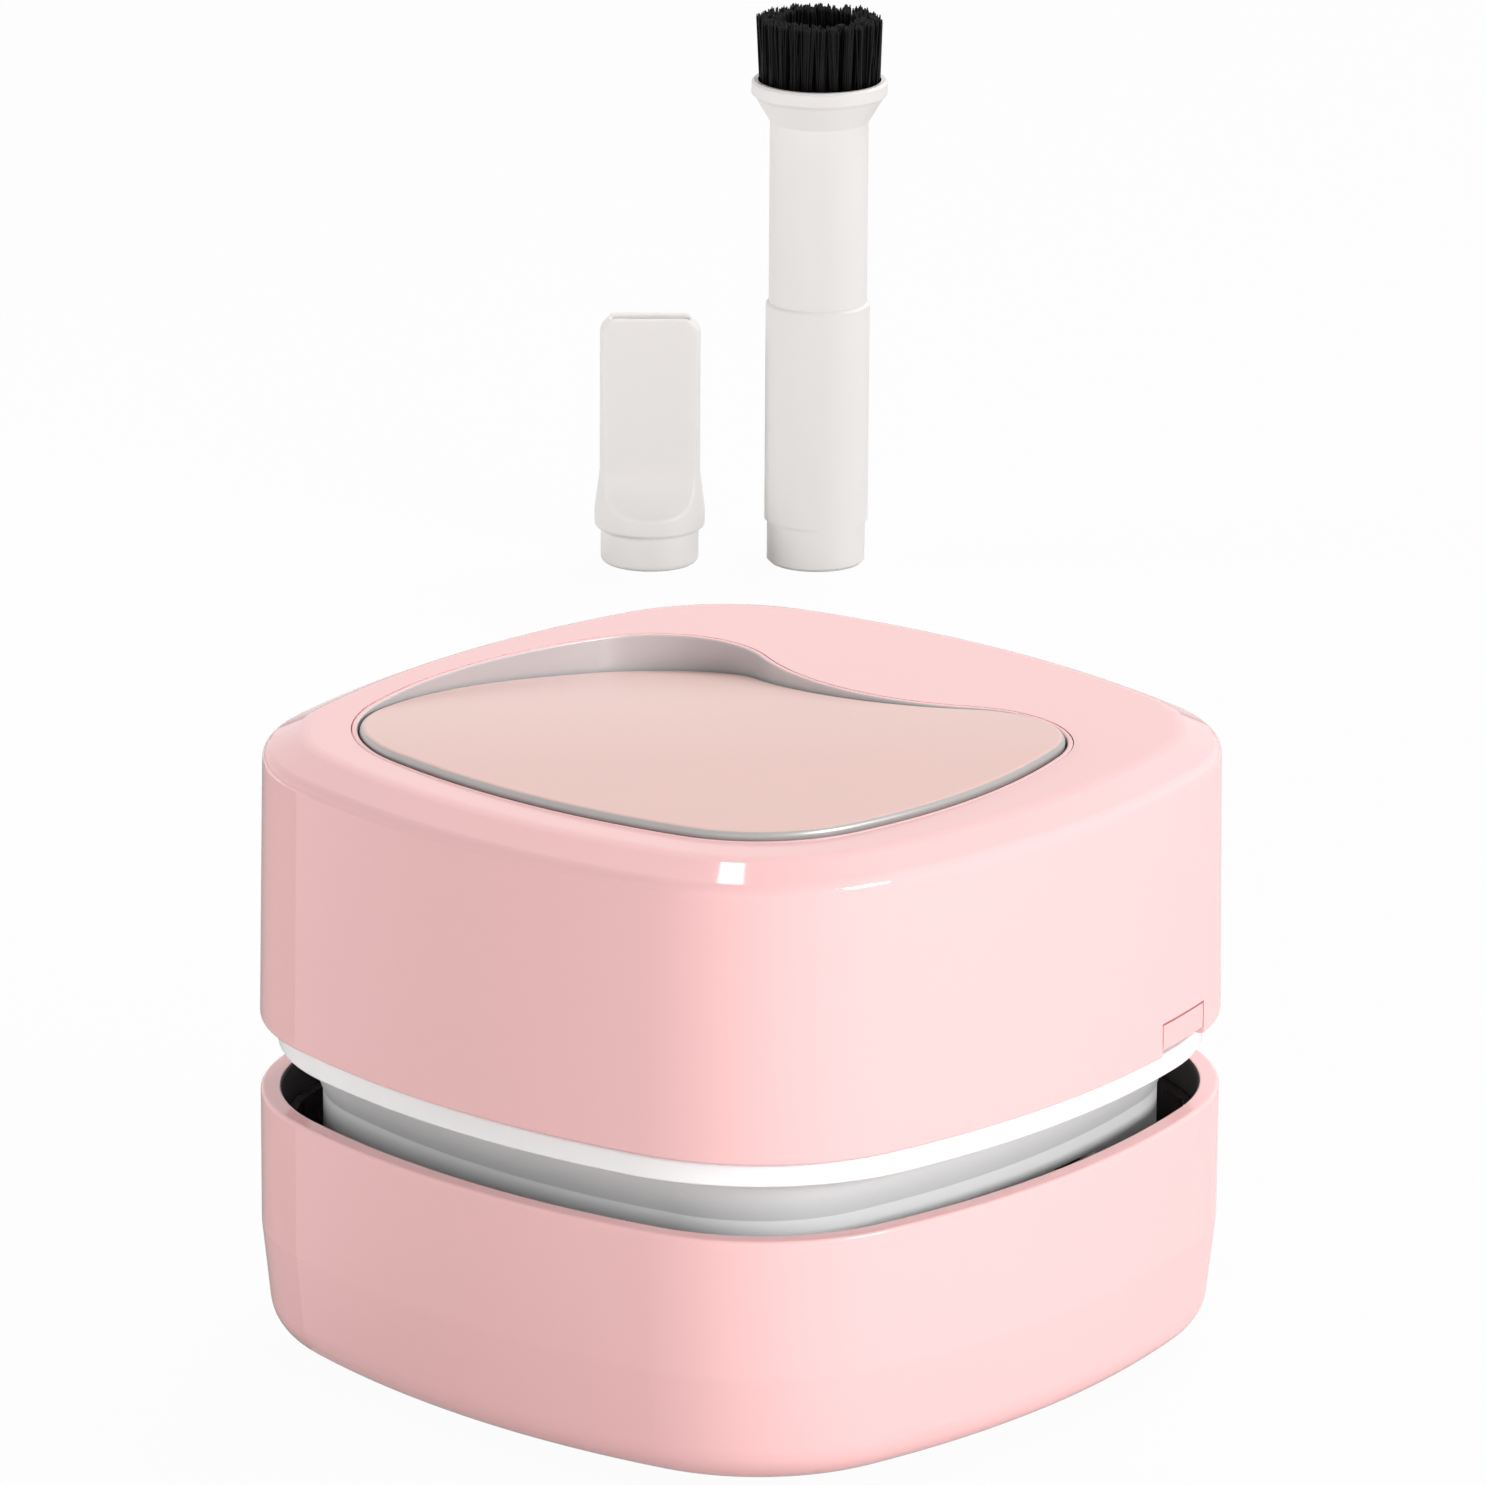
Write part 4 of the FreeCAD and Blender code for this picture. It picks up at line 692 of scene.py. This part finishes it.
class VACUUM_OT_stage(bpy.types.Operator):
    """Set up the camera, the floor and the studio light"""
    bl_idname = "vacuum.stage"
    bl_label = "Studio"

    def execute(self, context):
        scene = context.scene
        scene.view_settings.view_transform = "Standard"
        self.add_camera(scene)
        self.add_floor()
        self.add_flag()
        self.add_world(scene)
        self.add_lamps(scene)
        return {"FINISHED"}

    def add_camera(self, scene):
        camera = bpy.data.cameras.new("camera")
        camera.sensor_fit = "HORIZONTAL"
        camera.sensor_width = 36.0
        # Both in pixels, so that their ratio sets the lens.
        frame_width, focal_length = 1485, 9700.26
        camera.lens = camera.sensor_width * focal_length / frame_width
        camera.clip_start, camera.clip_end = 0.05, 20
        place = Vector((-0.68957, -0.60441, 0.34235))
        forward = Vector((0.71918, 0.63042, -0.29215))
        right = Vector((0.66061, -0.75071, 0.00626))
        up = right.cross(forward)
        holder = bpy.data.objects.new("camera", camera)
        turn = Matrix((right, up, -forward)).transposed().to_4x4()
        holder.matrix_world = Matrix.Translation(place) @ turn
        scene.collection.objects.link(holder)
        scene.camera = holder

    def add_floor(self):
        side, camera_glow, mirror_glow, grey = 12, 0.96, 0.3, 0.65
        clear_selection()
        bpy.ops.mesh.primitive_plane_add(size=side)
        floor = bpy.context.object
        floor.name = "floor"
        made, tree = bare_material("pale_paper")
        path = node(tree, "ShaderNodeLightPath")
        seen = node(tree, "ShaderNodeMath", {0: path.outputs["Is Camera Ray"], 1: camera_glow},
                    operation="MULTIPLY")
        mirrored = node(tree, "ShaderNodeMath",
                        {0: path.outputs["Is Glossy Ray"],
                         1: path.outputs["Is Transmission Ray"]}, operation="MAXIMUM")
        mirrored = node(tree, "ShaderNodeMath", {0: mirrored.outputs[0], 1: mirror_glow},
                        operation="MULTIPLY")
        share = node(tree, "ShaderNodeMath", {0: seen.outputs[0], 1: mirrored.outputs[0]},
                     operation="MAXIMUM")
        paper = node(tree, "ShaderNodeBsdfDiffuse", {"Color": (grey, grey, grey, 1)})
        glow = node(tree, "ShaderNodeEmission", {"Color": (1, 1, 1, 1), "Strength": 1.0})
        blend = node(tree, "ShaderNodeMixShader",
                     {0: share.outputs[0], 1: paper.outputs[0], 2: glow.outputs[0]})
        # From below the floor is clear, so that the underside can be looked at.
        face = node(tree, "ShaderNodeNewGeometry")
        clear = node(tree, "ShaderNodeBsdfTransparent")
        sided = node(tree, "ShaderNodeMixShader", {0: face.outputs["Backfacing"],
                                                   1: blend.outputs[0], 2: clear.outputs[0]})
        node(tree, "ShaderNodeOutputMaterial", {"Surface": sided.outputs[0]})
        floor.data.materials.append(made)

    def add_flag(self):
        # A dimly glowing card beside the left corner, seen only as a mirror image in the glossy
        # sides: a painted reflection, darker than the white around it.
        clear_selection()
        wide, long, turn, glow = 0.2, 0.22, math.radians(19), 0.3
        corner = Vector((-0.0385, 0.0255, 0.0006))
        middle = Matrix.Rotation(turn, 3, "Z") @ Vector((wide / 2, long / 2, 0))
        bpy.ops.mesh.primitive_plane_add(size=1, location=corner + middle, rotation=(0, 0, turn))
        flag = bpy.context.object
        flag.name = "left_flag"
        flag.scale = (wide, long, 1)
        bpy.ops.object.transform_apply(location=True, rotation=True, scale=True)
        made, tree = bare_material("dark_card")
        dim = node(tree, "ShaderNodeEmission", {"Color": (1, 1, 1, 1), "Strength": glow})
        node(tree, "ShaderNodeOutputMaterial", {"Surface": dim.outputs[0]})
        flag.data.materials.append(made)
        flag.visible_camera = flag.visible_diffuse = flag.visible_shadow = False
        flag.visible_transmission = flag.visible_volume_scatter = False

    def add_world(self, scene):
        fill, backdrop = 0.08, 1.0
        world = bpy.data.worlds.new("studio")
        world.use_nodes = True
        tree = world.node_tree
        tree.nodes.clear()
        path = node(tree, "ShaderNodeLightPath")
        seen = node(tree, "ShaderNodeMath",
                    {0: path.outputs["Is Camera Ray"], 1: path.outputs["Is Glossy Ray"]},
                    operation="MAXIMUM")
        seen = node(tree, "ShaderNodeMath",
                    {0: seen.outputs[0], 1: path.outputs["Is Transmission Ray"]},
                    operation="MAXIMUM")
        dim = node(tree, "ShaderNodeBackground", {"Color": (1, 1, 1, 1), "Strength": fill})
        white = node(tree, "ShaderNodeBackground", {"Color": (1, 1, 1, 1), "Strength": backdrop})
        blend = node(tree, "ShaderNodeMixShader",
                     {0: seen.outputs[0], 1: dim.outputs[0], 2: white.outputs[0]})
        node(tree, "ShaderNodeOutputWorld", {"Surface": blend.outputs[0]})
        scene.world = world

    def add_lamps(self, scene):
        # name, direction from the object, distance, width, height, power in watts, lights, mirrored
        lamps = [
            ("right_softbox", (0.1, -0.95, 0.34), 1.0, 0.9, 0.2, 8.5, True, False),
            ("right_window", (0.13, -0.86, 0.5), 1.1, 0.42, 0.3, 5.5, False, True),
            ("left_softbox", (-0.84, -0.47, 0.22), 0.93, 0.5, 0.3, 3.3, True, False),
            ("back_softbox", (0.65, 0.1, 0.75), 1.2, 0.8, 0.8, 10.2, True, False),
            ("tool_softbox", (-0.22, 0.96, 0.22), 0.46, 0.2, 0.2, 1.1, True, False),
            ("roof_window", (0.236, 0.33, 0.92), 1.0, 0.065, 0.18, 0.4, True, True),
        ]
        body_middle = Vector((0, 0, 0.04))
        for name, toward, distance, width, height, power, lights, mirrored in lamps:
            lamp = bpy.data.lights.new(name, "AREA")
            lamp.shape = "RECTANGLE"
            lamp.size, lamp.size_y = width, height
            lamp.energy = power
            holder = bpy.data.objects.new(name, lamp)
            holder.rotation_mode = "QUATERNION"
            holder.rotation_quaternion = (-Vector(toward)).to_track_quat("-Z", "Y")
            holder.location = body_middle + Vector(toward).normalized() * distance
            holder.visible_diffuse = lights
            holder.visible_glossy = mirrored
            scene.collection.objects.link(holder)


class VACUUM_PT_panel(bpy.types.Panel):
    """Shows the colours, sizes and steps of the mini vacuum"""
    bl_idname = "VACUUM_PT_panel"
    bl_label = "Mini vacuum"
    bl_space_type = "VIEW_3D"
    bl_region_type = "UI"
    bl_category = "Mini vacuum"

    def draw(self, context):
        for group in (context.scene.vacuum_colours, context.scene.vacuum_sizes):
            for name in group.__annotations__:
                self.layout.prop(group, name)
        for step in STEPS:
            self.layout.operator(step.bl_idname)


STEPS = [VACUUM_OT_stage, VACUUM_OT_finishes, VACUUM_OT_brush_fibres, VACUUM_OT_floor_fibres,
         VACUUM_OT_soft_nozzle, VACUUM_OT_soft_spring]
CLASSES = [VacuumColours, VacuumSizes, *STEPS, VACUUM_PT_panel]


def register():
    for item in CLASSES:
        bpy.utils.register_class(item)
    bpy.types.Scene.vacuum_colours = bpy.props.PointerProperty(type=VacuumColours)
    bpy.types.Scene.vacuum_sizes = bpy.props.PointerProperty(type=VacuumSizes)


def unregister():
    del bpy.types.Scene.vacuum_sizes
    del bpy.types.Scene.vacuum_colours
    for item in reversed(CLASSES):
        bpy.utils.unregister_class(item)


def main():
    register()
    for step in STEPS:
        group, name = step.bl_idname.split(".")
        getattr(getattr(bpy.ops, group), name)()


if __name__ == "__main__":
    main()
